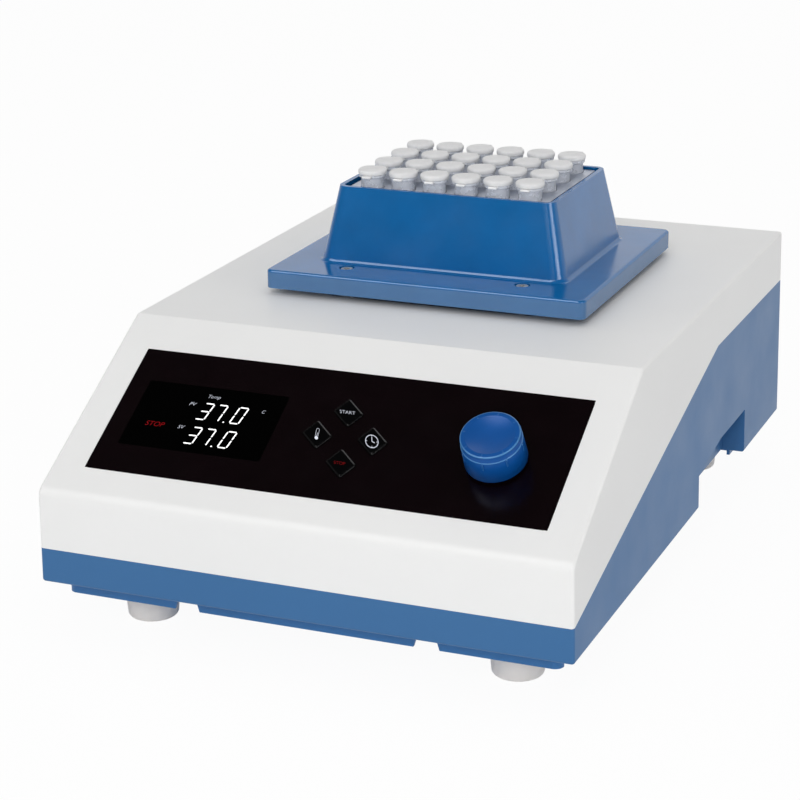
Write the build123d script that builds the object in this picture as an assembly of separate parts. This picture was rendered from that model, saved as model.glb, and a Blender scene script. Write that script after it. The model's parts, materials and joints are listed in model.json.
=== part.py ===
from build123d import *

import math
import os

# Thermal mixer: a bench instrument that heats and shakes 24 small tubes.
# Millimetres. Origin at the middle of the footprint on the bench, +X to the right as the
# user sees it, +Y to the back, +Z up. The user's side is -Y.

# ---- Housing form ----
WIDTH = 241.0
DEPTH = 336.0
BASE_Z = 23.2                # underside of the lower housing
CREASE_Z = 65.3              # top of the upright front face
TOP_Z = 118.5                # flat top of the housing
SLOPE_RUN = 92.5             # how far back the sloping control face reaches
SIDE_DRAFT = 1.4             # each side leans in by this much at the top
WALL = 3.0
EDGE_RADIUS = 1.4            # outside edges and corners
CREASE_RADIUS = 5.0          # where the front face turns into the slope
FLOOR_EDGE_RADIUS = 1.3      # bottom edge of the lower housing

# ---- Parting line of the two housing halves ----
PARTING_FRONT_Z = 38.8
PARTING_BACK_Z = 93.4
PARTING_LEVEL_Y = 45.6       # behind this the parting line runs level
LIP = 1.6                    # thickness of the locating lip inside the walls
LIP_RISE = 2.5               # the lip stands this far above the parting line
LIP_ROOT = 3.0               # and reaches this far below it

# ---- Clearances ----
MOULD_GAP = 0.1              # between moulded pieces that locate each other
RUNNING_FIT = 0.05           # radial, shafts and pins in their bearings
SLIDING_GAP = 0.3            # round pieces that are pushed or lifted
INSET_GAP = 0.1              # round panels and lenses let into a rebate

# ---- Base pan and feet ----
PAN_SHEET = 1.5
PAN_INSET = 8.0              # from the housing's outside to the pan's rim
PAN_CORNER = 4.0
PAN_RIM = 3.6                # depth of the down-turned rim, from the housing's underside
FRONT_RIM = 6.7              # the rim is deeper along the front
NOTCH_X = 54.6               # two notches in the front rim
NOTCH_WIDTH = 8.4
NOTCH_FLARE = 2.0            # each end of a notch slopes out by this much
GRIP_SHEET_GAP = 3.0         # the pan stands this far clear of the hand grips
FOOT_SIDE_INSET = 35.3       # foot centres from the housing's outside
FOOT_END_INSET = 34.0
FOOT_BOTTOM_RADIUS = 11.0
FOOT_TOP_RADIUS = 12.8
FOOT_EDGE = 2.0              # rounding of the foot's bottom edge
FOOT_BORE = 5.0              # radius of the screw recess in the foot
FOOT_BORE_DEPTH = 9.0
M4 = 2.0                     # screw shank radii
M3 = 1.5
PILOT = 0.8                  # a self-tapping screw and its hole, as a share of the shank
SCREW_CLEARANCE = 0.2        # radial, plain holes that screws pass through
SCREW_BITE = 8.0             # length of screw in the boss it holds
PAN_HEAD = 2.0               # screw head radius and height, as multiples of the shank radius
PAN_HEAD_RISE = 1.4

# ---- Hand grips in the side walls ----
GRIP_FRONT_Y = 15.1
GRIP_BACK_Y = 98.8
GRIP_FRONT_TOP_Z = 39.7
GRIP_TOP_Z = 45.3
GRIP_SLANT_Y = 54.4          # where the grip's roof turns level
GRIP_DEPTH = 11.5

# ---- Housing screw bosses ----
BOSS_RADIUS = 5.5
BOSS_SIDE_INSET = 18.0
BOSS_END_INSET = 18.0
BOSS_LAND = 8.0              # boss material between screw head and parting line

# ---- Control panel on the slope; u to the right, v up the slope, h outwards ----
PANEL_WIDTH = 208.4
PANEL_LOW_V = 15.7
PANEL_HIGH_V = 86.1
PANEL_THICK = 1.5
PANEL_CORNER = 2.0
WINDOW_WIDTH = 67.0
WINDOW_HEIGHT = 37.0
WINDOW_U = -61.5
WINDOW_V = 49.5
APERTURE_MARGIN = 2.5        # housing aperture past the window and the keys

# ---- Keys: leaning diamonds on a leaning grid ----
KEY_HALF_WIDTH = 6.9
KEY_HALF_HEIGHT = 7.75
KEY_LEAN = -2.2              # sideways shift of the top point
KEY_CORNER = 0.8
KEY_START = (1.4, 63.1)
KEY_STEP_LEFT = (-9.4, -13.8)
KEY_STEP_RIGHT = (15.9, -13.7)
KEY_PROUD = 0.9
KEY_BEVEL = 0.6
KEY_TRAVEL = 0.6
KEY_FLANGE = 1.0             # flange that keeps the key behind the panel
KEY_FLANGE_THICK = 1.2

# ---- Control board behind the panel ----
BOARD_DROP = 9.0             # from the slope face down to the board
BOARD_THICK = 1.6
BOARD_WIDTH = 184.0
BOARD_LOW_V = 16.0
BOARD_HIGH_V = 82.0
BOARD_HOLE_INSET = 5.0
BOARD_BOSS_RADIUS = 3.2
BOARD_SCREW_BITE = 4.0
SWITCH_SIZE = 6.2
SWITCH_BODY = 2.8
PLUNGER_RADIUS = 1.7

# ---- Setting knob ----
KNOB_U = 72.75
KNOB_V = 47.86
KNOB_HEIGHT = 16.0
KNOB_STEP_H = 12.6
KNOB_TOP_RADIUS = 13.0
KNOB_EDGE = 0.5              # bevel round the top
KNOB_STEP_RADIUS = 13.3      # top of the skirt, a small step out from the cap
KNOB_SKIRT_RADIUS = 13.7     # bottom of the skirt
KNOB_WALL = 2.0
KNOB_LIFT = 0.6              # skirt stands this far off the panel
KNOB_RIBS = 8
RIB_WIDTH = 0.6
RIB_PROUD = 0.25
DISH_RADIUS = 10.3           # shallow dish in the top
DISH_DEPTH = 0.3
TICK_LENGTH = 1.3            # raised marks round the dish, over the ribs
TICK_WIDTH = 0.5
TICK_RISE = 0.15
SPINDLE_RADIUS = 3.0
BUSH_RADIUS = 4.5
NUT_RADIUS = 6.4
NUT_THICK = 2.0
ENCODER_SIZE = 14.0

# ---- Shaking drive ----
BLOCK_Y = 40.2               # middle of the block and its platform
ORBIT = 1.5                  # radius of the shaking orbit
FRAME_Z = 80.0               # underside of the drive frame
FRAME_THICK = 6.0
FRAME_HALF_X = 70.0
FRAME_HALF_Y = 60.0
POST_X = 62.0
POST_Y = 52.0
POST_RADIUS = 6.0
MOTOR_RADIUS = 30.0
MOTOR_LENGTH = 44.0
SHAFT_RADIUS = 4.0
BEARING_RADIUS = 9.5
HUB_RADIUS = 17.0
HUB_THICK = 8.0
HUB_LIFT = 1.0               # hub above the drive frame
WEIGHT_RADIUS = 27.0
CRANK_X = 44.0
CRANK_Y = 30.0
CRANK_PIN = 3.0
CRANK_RADIUS = 7.5
CRANK_LENGTH = 17.0
BUSH_WALL = 2.0
PLATFORM_Z = 107.0
PLATFORM_THICK = 6.0
PLATFORM_MARGIN = 9.0        # platform past the heater plate and past the pillars
PILLAR_X = 43.0              # pillars that carry the block cover, under its screws
PILLAR_CLEAR = 6.7           # pillar centres from the foot of the tower
PILLAR_RADIUS = 6.0
HATCH_MARGIN = 1.5           # past the pillars and their orbit
HATCH_CORNER = 4.0

# ---- Heated block ----
PAD_THICK = 3.0
HEATER_THICK = 6.0
HEATER_MARGIN = 0.5
CARTRIDGE_RADIUS = 3.0
CARTRIDGE_Y = 18.0
SENSOR_RADIUS = 1.5
SENSOR_LENGTH = 30.0
COLUMNS = 6
ROWS = 4
PITCH_X = 15.5
PITCH_Y = 20.0
WELL_WALL = 0.8              # from the outer wells to the front face of the block
WELL_LAND = 4.3              # and to its sides
BLOCK_TOP_Z = 164.4
WELL_TIP_Z = 132.0

# ---- Block cover: flange plate and tapered tower in one moulding ----
COVER_Z = 121.7
COVER_THICK = 8.65
COVER_CORNER = 3.6
COVER_EDGE = 1.2
COVER_WALL = 2.2
BRIM_X = 17.1                # flange plate past the foot of the tower
BRIM_Y = 22.8
TOWER_TOP_Z = 165.6
TOWER_GAP_X = 2.05           # between the block and the top of the tower
TOWER_GAP_Y = 0.8
TOWER_LEAN_X = 7.3           # each wall leans in by this much from foot to top
TOWER_LEAN_Y = 5.8
TOWER_FOOT_CORNER = 6.6
TOWER_TOP_CORNER = 5.2
TOWER_FOOT_RADIUS = 2.0      # fillet between tower and plate
BLOCK_SCREW_HEAD = 2.75      # hexagon socket cap screws
BLOCK_SCREW_RISE = 3.0
BLOCK_SCREW_SINK = 3.4       # depth of the holes that hold the heads
BLOCK_SCREW_HOLE = 3.6
BLOCK_SCREW_SOCKET = 1.45
BLOCK_SCREW_SOCKET_DEPTH = 1.5

# ---- Tubes with closed lids ----
LID_TOP_Z = 173.3
LID_RADIUS = 6.7
LID_THICK = 2.8
LID_EDGE = 0.6
COLLAR_RADIUS = 6.2
COLLAR_THICK = 1.3
TUBE_RADIUS = 5.4
TUBE_LENGTH = 40.6
TUBE_CONE = 17.0
TUBE_TIP_RADIUS = 1.8
HINGE_WIDTH = 4.2
HINGE_REACH = 1.2
HINGE_THICK = 1.2
TAB_WIDTH = 5.0
TAB_REACH = 2.0

# ---- Rear connections; a to the left of the user's right, b up, h outwards ----
REAR_RECESS = 5.0
RECESS_LEFT_A = 12.0
RECESS_RIGHT_A = 94.0
RECESS_LOW_Z = 38.0
RECESS_HIGH_Z = 74.0
MODULE_Z = 56.0
INLET_A = 38.0
INLET_WIDTH = 44.0
INLET_HEIGHT = 30.0
FLANGE = 1.5
FLANGE_OVERLAP = 3.0
INLET_BODY_DEPTH = 22.0
SOCKET_SHIFT = -7.0
SOCKET_WIDTH = 24.0
SOCKET_HEIGHT = 17.0
SOCKET_DEPTH = 17.0
SOCKET_CORNER = 5.0
PIN_THICK = 2.0
PIN_HEIGHT = 4.0
PIN_LENGTH = 14.0
PIN_SPREAD = 7.0
PIN_RISE = 2.0               # the middle pin above, the outer two below
FUSE_SHIFT = 13.0
FUSE_WIDTH = 8.0
FUSE_HEIGHT = 20.0
FUSE_DEPTH = 15.0
SWITCH_A = 78.0
ROCKER_WIDTH = 12.6
ROCKER_HALF_HEIGHT = 11.0
ROCKER_TILT = 12.0           # to each side of level, degrees
ROCKER_PIVOT_H = -3.0
ROCKER_MID_H = 0.2
ROCKER_EDGE = 3.5
ROCKER_DEPTH = 5.0
TRUNNION = 1.5
FRAME_WALL = 1.2
SWITCH_FRAME_DEPTH = 12.0
VENTS = 9
VENT_WIDTH = 3.0
VENT_HEIGHT = 24.0
VENT_PITCH = 7.0
VENT_X = 30.0

# ---- Power board on the floor ----
SUPPLY_WIDTH = 130.0
SUPPLY_DEPTH = 84.0
SUPPLY_Y = -92.0
SUPPLY_LIFT = 8.0
SUPPLY_HOLE_INSET = 6.0
TRANSFORMER_X = -32.0
TRANSFORMER_SIZE = (46.0, 38.0, 26.0)
CAPACITOR_X = (18.0, 40.0)
CAPACITOR_RADIUS = 8.0
CAPACITOR_HEIGHT = 24.0
PARTS_SHIFT = 8.0            # transformer and capacitors behind the middle of the board

# ---- Values that follow from the ones above ----
FLOOR_Z = BASE_Z + WALL
ROOF_Z = TOP_Z - WALL
PAN_Z = BASE_Z - PAN_SHEET
PAN_HALF_X = WIDTH / 2 - PAN_INSET
PAN_HALF_Y = DEPTH / 2 - PAN_INSET
FOOT_X = WIDTH / 2 - FOOT_SIDE_INSET
FOOT_Y = DEPTH / 2 - FOOT_END_INSET
SLOPE_ANGLE = math.atan2(TOP_Z - CREASE_Z, SLOPE_RUN)
SLOPE = Plane(
    origin=(0, -DEPTH / 2, CREASE_Z),
    x_dir=(1, 0, 0),
    z_dir=(0, -math.sin(SLOPE_ANGLE), math.cos(SLOPE_ANGLE)),
)
KNOB_PLACE = SLOPE * Pos(KNOB_U, KNOB_V, 0)
REAR = Plane(origin=(0, DEPTH / 2 - REAR_RECESS, 0), x_dir=(-1, 0, 0), z_dir=(0, 1, 0))
RECESS_HEIGHT = RECESS_HIGH_Z - RECESS_LOW_Z
RECESS_MID_A = (RECESS_LEFT_A + RECESS_RIGHT_A) / 2
RECESS_MID_Z = (RECESS_LOW_Z + RECESS_HIGH_Z) / 2
WELL_RADIUS = TUBE_RADIUS + SLIDING_GAP
BLOCK_HALF_WIDTH = (COLUMNS - 1) / 2 * PITCH_X + WELL_RADIUS + WELL_LAND
BLOCK_HALF_DEPTH = (ROWS - 1) / 2 * PITCH_Y + WELL_RADIUS + WELL_WALL
TOWER_TOP_HALF_X = BLOCK_HALF_WIDTH + TOWER_GAP_X + COVER_WALL
TOWER_TOP_HALF_Y = BLOCK_HALF_DEPTH + TOWER_GAP_Y + COVER_WALL
TOWER_BASE_HALF_X = TOWER_TOP_HALF_X + TOWER_LEAN_X
TOWER_BASE_HALF_Y = TOWER_TOP_HALF_Y + TOWER_LEAN_Y
COVER_HALF_X = TOWER_BASE_HALF_X + BRIM_X
COVER_HALF_Y = TOWER_BASE_HALF_Y + BRIM_Y
COVER_TOP_Z = COVER_Z + COVER_THICK
PILLAR_Y = TOWER_BASE_HALF_Y + PILLAR_CLEAR
PLATFORM_HALF_X = BLOCK_HALF_WIDTH + HEATER_MARGIN + PLATFORM_MARGIN
PLATFORM_HALF_Y = PILLAR_Y + PLATFORM_MARGIN
HEATER_Z = PLATFORM_Z + PLATFORM_THICK + PAD_THICK
BLOCK_Z = HEATER_Z + HEATER_THICK
PLATFORM_TOP_Z = PLATFORM_Z + PLATFORM_THICK
DRIVE_Y = BLOCK_Y + ORBIT    # the motor axis; the eccentric pin stands in front of it
HUB_Z = FRAME_Z + FRAME_THICK + HUB_LIFT
TUBE_TIP_Z = LID_TOP_Z - TUBE_LENGTH
CORNERS = [(-1, -1), (1, -1), (-1, 1), (1, 1)]
SIDES = (-1, 1)
FAR = 4 * DEPTH              # longer than anything, for trimming

PIECES = {}


# ---- Shared shapes ----
def box_between(low, high):
    """An upright box from its low corner to its high corner."""
    size = [b - a for a, b in zip(low, high)]
    middle = [(a + b) / 2 for a, b in zip(low, high)]
    return Pos(*middle) * Box(*size)


def rod(radius, low, high, x=0.0, y=0.0):
    """A cylinder along Z from low to high."""
    return Pos(x, y, (low + high) / 2) * Cylinder(radius, high - low)


def turned(points):
    """A solid of revolution about Z from (radius, height) points."""
    return revolve(Plane.XZ * make_face(Polyline(*points, close=True)), Axis.Z)


def rounded_plate(half_x, half_y, corner, low, high):
    """A plate with rounded corners from low to high, centred on Z."""
    outline = RectangleRounded(2 * half_x, 2 * half_y, corner)
    return Pos(0, 0, low) * extrude(outline, amount=high - low)


def joined(pieces):
    """One node that holds several separate solids."""
    return Compound([solid for piece in pieces for solid in piece.solids()])


def fused(pieces):
    """One solid from pieces that meet."""
    first, *rest = pieces
    for piece in rest:
        first = first + piece
    return first


def screw_form(shank, length, head_radius, head_height):
    """A screw whose head sits on z 0 and whose shank hangs down from it."""
    return rod(shank, -length, 0) + rod(head_radius, 0, head_height)


def pan_screw(shank, length):
    """A pan head screw in the usual proportions."""
    return screw_form(shank, length, shank * PAN_HEAD, shank * PAN_HEAD_RISE)


# ---- Housing ----
def housing_form(inset):
    """The housing's closed outer form with square edges, drawn in by inset all round."""
    front, back = -DEPTH / 2, DEPTH / 2
    side = make_face(Polyline(
        (front, BASE_Z), (front, CREASE_Z), (front + SLOPE_RUN, TOP_Z),
        (back, TOP_Z), (back, BASE_Z), close=True,
    ))
    low, high = WIDTH / 2, WIDTH / 2 - SIDE_DRAFT
    section = make_face(Polyline(
        (-low, BASE_Z), (low, BASE_Z), (high, TOP_Z), (-high, TOP_Z), close=True,
    ))
    if inset:
        side = offset(side, amount=-inset, kind=Kind.INTERSECTION)
        section = offset(section, amount=-inset, kind=Kind.INTERSECTION)
    lengthways = extrude(Plane.YZ * side, amount=WIDTH, both=True)
    crossways = extrude(Plane.XZ * section, amount=DEPTH, both=True)
    return lengthways & crossways


def rounded_form():
    """The outer form with its edges rounded."""
    form = housing_form(0)
    crease = form.edges().filter_by(
        lambda edge: abs(edge.center().X) < 1 and abs(edge.center().Z - CREASE_Z) < 1)
    form = fillet(crease, CREASE_RADIUS)
    upper = form.edges().filter_by(
        lambda edge: edge.center().Z > TOP_Z - 1
        or (edge.center().Z > BASE_Z + 1 and abs(edge.center().X) > 1))
    form = fillet(upper, EDGE_RADIUS)
    lower = form.edges().filter_by(lambda edge: edge.center().Z < BASE_Z + 0.1)
    return fillet(lower, FLOOR_EDGE_RADIUS)


def parting_z(y):
    """Height of the parting line at a place along the housing."""
    front = -DEPTH / 2
    share = (y - front) / (PARTING_LEVEL_Y - front)
    return PARTING_FRONT_Z + min(share, 1) * (PARTING_BACK_Z - PARTING_FRONT_Z)


def below_parting(rise=0.0):
    """Everything under the parting surface, moved up by rise."""
    outline = Polyline(
        (-FAR, -FAR), (-FAR, PARTING_FRONT_Z + rise), (-DEPTH / 2, PARTING_FRONT_Z + rise),
        (PARTING_LEVEL_Y, PARTING_BACK_Z + rise), (FAR, PARTING_BACK_Z + rise), (FAR, -FAR),
        close=True,
    )
    return extrude(Plane.YZ * make_face(outline), amount=WIDTH, both=True)


def grip_form(side, grow=0.0):
    """The hand grip's pocket in one side wall, open downwards and outwards."""
    outline = make_face(Polyline(
        (GRIP_FRONT_Y, 0), (GRIP_FRONT_Y, GRIP_FRONT_TOP_Z), (GRIP_SLANT_Y, GRIP_TOP_Z),
        (GRIP_BACK_Y, GRIP_TOP_Z), (GRIP_BACK_Y, 0), close=True,
    ))
    if grow:
        outline = offset(outline, amount=grow, kind=Kind.INTERSECTION)
    reach = extrude(Plane.YZ * outline, amount=WIDTH)
    return Pos(WIDTH / 2 - GRIP_DEPTH - grow, 0, 0) * reach if side > 0 else \
        mirror(Pos(WIDTH / 2 - GRIP_DEPTH - grow, 0, 0) * reach, Plane.YZ)


def recess_form(grow=0.0):
    """The recess round the rear connections, grown for the wall behind it."""
    width = RECESS_RIGHT_A - RECESS_LEFT_A + 2 * grow
    shape = Box(width, RECESS_HEIGHT + 2 * grow, REAR_RECESS * 2 + grow)
    return REAR * Pos(RECESS_MID_A, RECESS_MID_Z, REAR_RECESS - grow / 2) * shape


def boss_places():
    """Centres of the four housing screw bosses."""
    return [(sx * (WIDTH / 2 - BOSS_SIDE_INSET), sy * (DEPTH / 2 - BOSS_END_INSET))
            for sx, sy in CORNERS]


def board_holes():
    """Board fixing places on the slope."""
    low, high = BOARD_LOW_V + BOARD_HOLE_INSET, BOARD_HIGH_V - BOARD_HOLE_INSET
    reach = BOARD_WIDTH / 2 - BOARD_HOLE_INSET
    return [(u, v) for u in (-reach, reach) for v in (low, high)]


def panel_plate(grow, low, high):
    """The control panel's outline as a plate on the slope."""
    plate = rounded_plate(
        PANEL_WIDTH / 2 + grow, (PANEL_HIGH_V - PANEL_LOW_V) / 2 + grow,
        PANEL_CORNER + grow, low, high,
    )
    return SLOPE * Pos(0, (PANEL_LOW_V + PANEL_HIGH_V) / 2, 0) * plate


def key_centres():
    """Middle of each key on the slope, by name."""
    (u, v), (lu, lv), (ru, rv) = KEY_START, KEY_STEP_LEFT, KEY_STEP_RIGHT
    return {
        "key_start": (u, v),
        "key_temperature": (u + lu, v + lv),
        "key_timer": (u + ru, v + rv),
        "key_stop": (u + lu + ru, v + lv + rv),
    }


def panel_aperture():
    """The opening in the sloping wall behind the window and the keys."""
    keys = key_centres().values()
    left = WINDOW_U - WINDOW_WIDTH / 2 - APERTURE_MARGIN
    right = max(u for u, v in keys) + KEY_HALF_WIDTH + APERTURE_MARGIN
    low = min(v for u, v in keys) - KEY_HALF_HEIGHT - APERTURE_MARGIN
    high = max(v for u, v in keys) + KEY_HALF_HEIGHT + APERTURE_MARGIN
    return SLOPE * box_between((left, low, -2 * WALL), (right, high, 0))


def hatch():
    """The opening in the top that the block's pillars reach through."""
    room = ORBIT + HATCH_MARGIN
    half_x = max(PILLAR_X + PILLAR_RADIUS, BLOCK_HALF_WIDTH + HEATER_MARGIN) + room
    half_y = PILLAR_Y + PILLAR_RADIUS + room
    plate = rounded_plate(half_x, half_y, HATCH_CORNER, ROOF_Z - WALL, TOP_Z + WALL)
    return Pos(0, DRIVE_Y, 0) * plate


def housing_shell():
    """Both housing halves in one, before they are parted."""
    cavity = housing_form(WALL)
    for side in SIDES:
        cavity = cavity - grip_form(side, WALL)
    cavity = cavity - recess_form(WALL)
    for x, y in boss_places():
        cavity = cavity - rod(BOSS_RADIUS, 0, FAR, x, y)
    for u, v in board_holes():
        boss = rod(BOARD_BOSS_RADIUS, -BOARD_DROP, 0, u, v)
        cavity = cavity - SLOPE * boss
    shell = rounded_form() - cavity
    for side in SIDES:
        shell = shell - grip_form(side)
    shell = shell - recess_form()
    shell = shell - panel_plate(INSET_GAP, -PANEL_THICK, 2 * WALL)
    shell = shell - panel_aperture()
    shell = shell - KNOB_PLACE * rod(NUT_RADIUS + 1, -2 * WALL, 1)
    for u, v in board_holes():
        shell = shell - SLOPE * rod(M3 * PILOT, -BOARD_DROP - 1, -PANEL_THICK - 1, u, v)
    for x, y in boss_places():
        head_z = parting_z(y) - BOSS_LAND
        shell = shell - rod(M4 * PAN_HEAD + SCREW_CLEARANCE, 0, head_z, x, y)
        shell = shell - rod(M4, 0, parting_z(y) + SCREW_BITE + 1, x, y)
    return shell - hatch()


def parting_lip():
    """Locating lip on the lower half, just inside the wall of the upper half."""
    inner = housing_form(WALL + LIP)
    upright = (housing_form(WALL + MOULD_GAP) - inner) & below_parting(LIP_RISE)
    root = (housing_form(WALL - MOULD_GAP) - inner) & below_parting()
    return (upright + root) - below_parting(-LIP_ROOT)


def rear_openings():
    """Openings in the recess floor for the inlet and the switch, and the air slots."""
    body_x, body_z = INLET_WIDTH / 2 - FLANGE_OVERLAP, INLET_HEIGHT / 2 - FLANGE_OVERLAP
    switch_x, switch_z = switch_frame_half()
    cuts = [
        REAR * Pos(INLET_A, MODULE_Z, 0) * Box(
            2 * (body_x + MOULD_GAP), 2 * (body_z + MOULD_GAP), 4 * WALL),
        REAR * Pos(SWITCH_A, MODULE_Z, 0) * Box(
            2 * (switch_x + MOULD_GAP), 2 * (switch_z + MOULD_GAP), 4 * WALL),
    ]
    for index in range(VENTS):
        slot = RectangleRounded(VENT_WIDTH, VENT_HEIGHT, VENT_WIDTH * 0.45)
        x = VENT_X + index * VENT_PITCH
        place = Pos(x, DEPTH / 2 + WALL, RECESS_MID_Z)
        cuts.append(place * extrude(Plane.XZ * slot, amount=3 * WALL))
    return cuts


def supply_holes():
    """Places of the power board's pillars."""
    reach_x = SUPPLY_WIDTH / 2 - SUPPLY_HOLE_INSET
    reach_y = SUPPLY_DEPTH / 2 - SUPPLY_HOLE_INSET
    return [(sx * reach_x, SUPPLY_Y + sy * reach_y) for sx, sy in CORNERS]


def make_housings():
    shell = housing_shell()
    lower = (shell & below_parting()) + parting_lip()
    for cut in rear_openings():
        lower = lower - cut
    for sx, sy in CORNERS:
        lower = lower - rod(M4, 0, 2 * FLOOR_Z, sx * FOOT_X, sy * FOOT_Y)
    PIECES["lower_housing"] = lower
    PIECES["upper_housing"] = shell - below_parting()
    screw = pan_screw(M4, BOSS_LAND + SCREW_BITE)
    PIECES["housing_screws"] = joined([
        Pos(x, y, parting_z(y) - BOSS_LAND) * Rot(X=180) * screw for x, y in boss_places()
    ])


# ---- Base pan and feet ----
def rim_notch():
    """A notch through the front rim, wider towards the bench."""
    half, low = NOTCH_WIDTH / 2, PAN_Z - FRONT_RIM
    outline = make_face(Polyline(
        (-half, PAN_Z), (half, PAN_Z), (half + NOTCH_FLARE, low), (-half - NOTCH_FLARE, low),
        close=True,
    ))
    return Pos(0, -PAN_HALF_Y, 0) * extrude(Plane.XZ * outline, amount=2 * PAN_SHEET, both=True)


def make_base_pan():
    low = BASE_Z - FRONT_RIM
    outer = rounded_plate(PAN_HALF_X, PAN_HALF_Y, PAN_CORNER, low, BASE_Z)
    hollow = rounded_plate(
        PAN_HALF_X - PAN_SHEET, PAN_HALF_Y - PAN_SHEET, PAN_CORNER - PAN_SHEET, low - 1, PAN_Z)
    behind = box_between((-FAR, PAN_CORNER - PAN_HALF_Y, 0), (FAR, FAR, BASE_Z - PAN_RIM))
    pan = outer - hollow - behind
    for side in SIDES:
        pan = pan - Pos(side * NOTCH_X, 0, 0) * rim_notch()
        pan = pan - grip_form(side, GRIP_SHEET_GAP)
    for sx, sy in CORNERS:
        pan = pan - rod(M4 + SCREW_CLEARANCE, 0, BASE_Z + 1, sx * FOOT_X, sy * FOOT_Y)
    for x, y in boss_places():
        pan = pan - rod(M4 * PAN_HEAD + SCREW_CLEARANCE, 0, BASE_Z + 1, x, y)
    PIECES["base_pan"] = pan


def make_feet():
    names = ("foot_front_left", "foot_front_right", "foot_rear_left", "foot_rear_right")
    foot = turned([
        (FOOT_BORE, 0), (FOOT_BOTTOM_RADIUS, 0), (FOOT_TOP_RADIUS, PAN_Z),
        (M4 + SCREW_CLEARANCE, PAN_Z), (M4 + SCREW_CLEARANCE, FOOT_BORE_DEPTH),
        (FOOT_BORE, FOOT_BORE_DEPTH),
    ])
    rims = foot.edges().filter_by(GeomType.CIRCLE)
    bottom = rims.filter_by(lambda edge: edge.center().Z < 1 and edge.radius > FOOT_BORE + 1)
    foot = fillet(bottom, FOOT_EDGE)
    screw = pan_screw(M4, FLOOR_Z - FOOT_BORE_DEPTH + 2)
    screws = []
    for name, (sx, sy) in zip(names, CORNERS):
        place = Pos(sx * FOOT_X, sy * FOOT_Y, 0)
        PIECES[name] = place * foot
        screws.append(place * Pos(0, 0, FOOT_BORE_DEPTH) * Rot(X=180) * screw)
    PIECES["foot_screws"] = joined(screws)


# ---- Control panel ----
def key_outline(grow):
    """The leaning diamond of a key, grown by a margin."""
    outline = make_face(Polyline(
        (-KEY_HALF_WIDTH, 0), (KEY_LEAN, KEY_HALF_HEIGHT),
        (KEY_HALF_WIDTH, 0), (-KEY_LEAN, -KEY_HALF_HEIGHT), close=True,
    ))
    if grow:
        outline = offset(outline, amount=grow, kind=Kind.INTERSECTION)
    return fillet(outline.vertices(), KEY_CORNER + grow)


def window_plate(grow, low, high):
    """The display window's outline as a plate on the slope."""
    plate = rounded_plate(WINDOW_WIDTH / 2 + grow, WINDOW_HEIGHT / 2 + grow, 1 + grow, low, high)
    return SLOPE * Pos(WINDOW_U, WINDOW_V, 0) * plate


def make_panel():
    panel = panel_plate(0, -PANEL_THICK, 0)
    panel = panel - window_plate(INSET_GAP, -2 * PANEL_THICK, 1)
    panel = panel - KNOB_PLACE * rod(BUSH_RADIUS + MOULD_GAP, -2 * PANEL_THICK, 1)
    for u, v in key_centres().values():
        hole = extrude(key_outline(SLIDING_GAP), amount=4 * PANEL_THICK, both=True)
        panel = panel - SLOPE * Pos(u, v, 0) * hole
    PIECES["control_panel"] = panel
    PIECES["display_window"] = window_plate(0, -PANEL_THICK, -INSET_GAP)


def make_keys():
    flange_top = -PANEL_THICK - MOULD_GAP
    foot_h = -(BOARD_DROP - SWITCH_BODY - 2 * KEY_TRAVEL)
    for name, (u, v) in key_centres().items():
        cap = Pos(0, 0, flange_top) * extrude(key_outline(0), amount=KEY_PROUD - flange_top)
        cap = chamfer(cap.faces().sort_by(Axis.Z)[-1].edges(), KEY_BEVEL)
        flange = Pos(0, 0, flange_top - KEY_FLANGE_THICK) * extrude(
            key_outline(KEY_FLANGE), amount=KEY_FLANGE_THICK)
        stem = rod(PLUNGER_RADIUS, foot_h, flange_top)
        PIECES[name] = SLOPE * Pos(u, v, 0) * fused([cap, flange, stem])


def make_control_board():
    board = box_between(
        (-BOARD_WIDTH / 2, BOARD_LOW_V, -BOARD_DROP - BOARD_THICK),
        (BOARD_WIDTH / 2, BOARD_HIGH_V, -BOARD_DROP))
    screw = pan_screw(M3 * PILOT, BOARD_THICK + BOARD_SCREW_BITE)
    screws = []
    for u, v in board_holes():
        board = board - rod(M3, -2 * BOARD_DROP, 0, u, v)
        place = SLOPE * Pos(u, v, -BOARD_DROP - BOARD_THICK) * Rot(X=180)
        screws.append(place * screw)
    PIECES["control_board"] = SLOPE * board
    PIECES["board_screws"] = joined(screws)
    switches = []
    for u, v in key_centres().values():
        body = box_between((-SWITCH_SIZE / 2, -SWITCH_SIZE / 2, -BOARD_DROP),
                           (SWITCH_SIZE / 2, SWITCH_SIZE / 2, -BOARD_DROP + SWITCH_BODY))
        plunger = rod(PLUNGER_RADIUS, -BOARD_DROP + SWITCH_BODY - 1,
                      -BOARD_DROP + SWITCH_BODY + KEY_TRAVEL / 2)
        switches.append(SLOPE * Pos(u, v, 0) * (body + plunger))
    PIECES["key_switches"] = joined(switches)
    half_x = WINDOW_WIDTH / 2 - 2
    half_y = WINDOW_HEIGHT / 2 - 2
    PIECES["display_module"] = SLOPE * Pos(WINDOW_U, WINDOW_V, 0) * box_between(
        (-half_x, -half_y, -BOARD_DROP), (half_x, half_y, -PANEL_THICK - MOULD_GAP))


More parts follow.
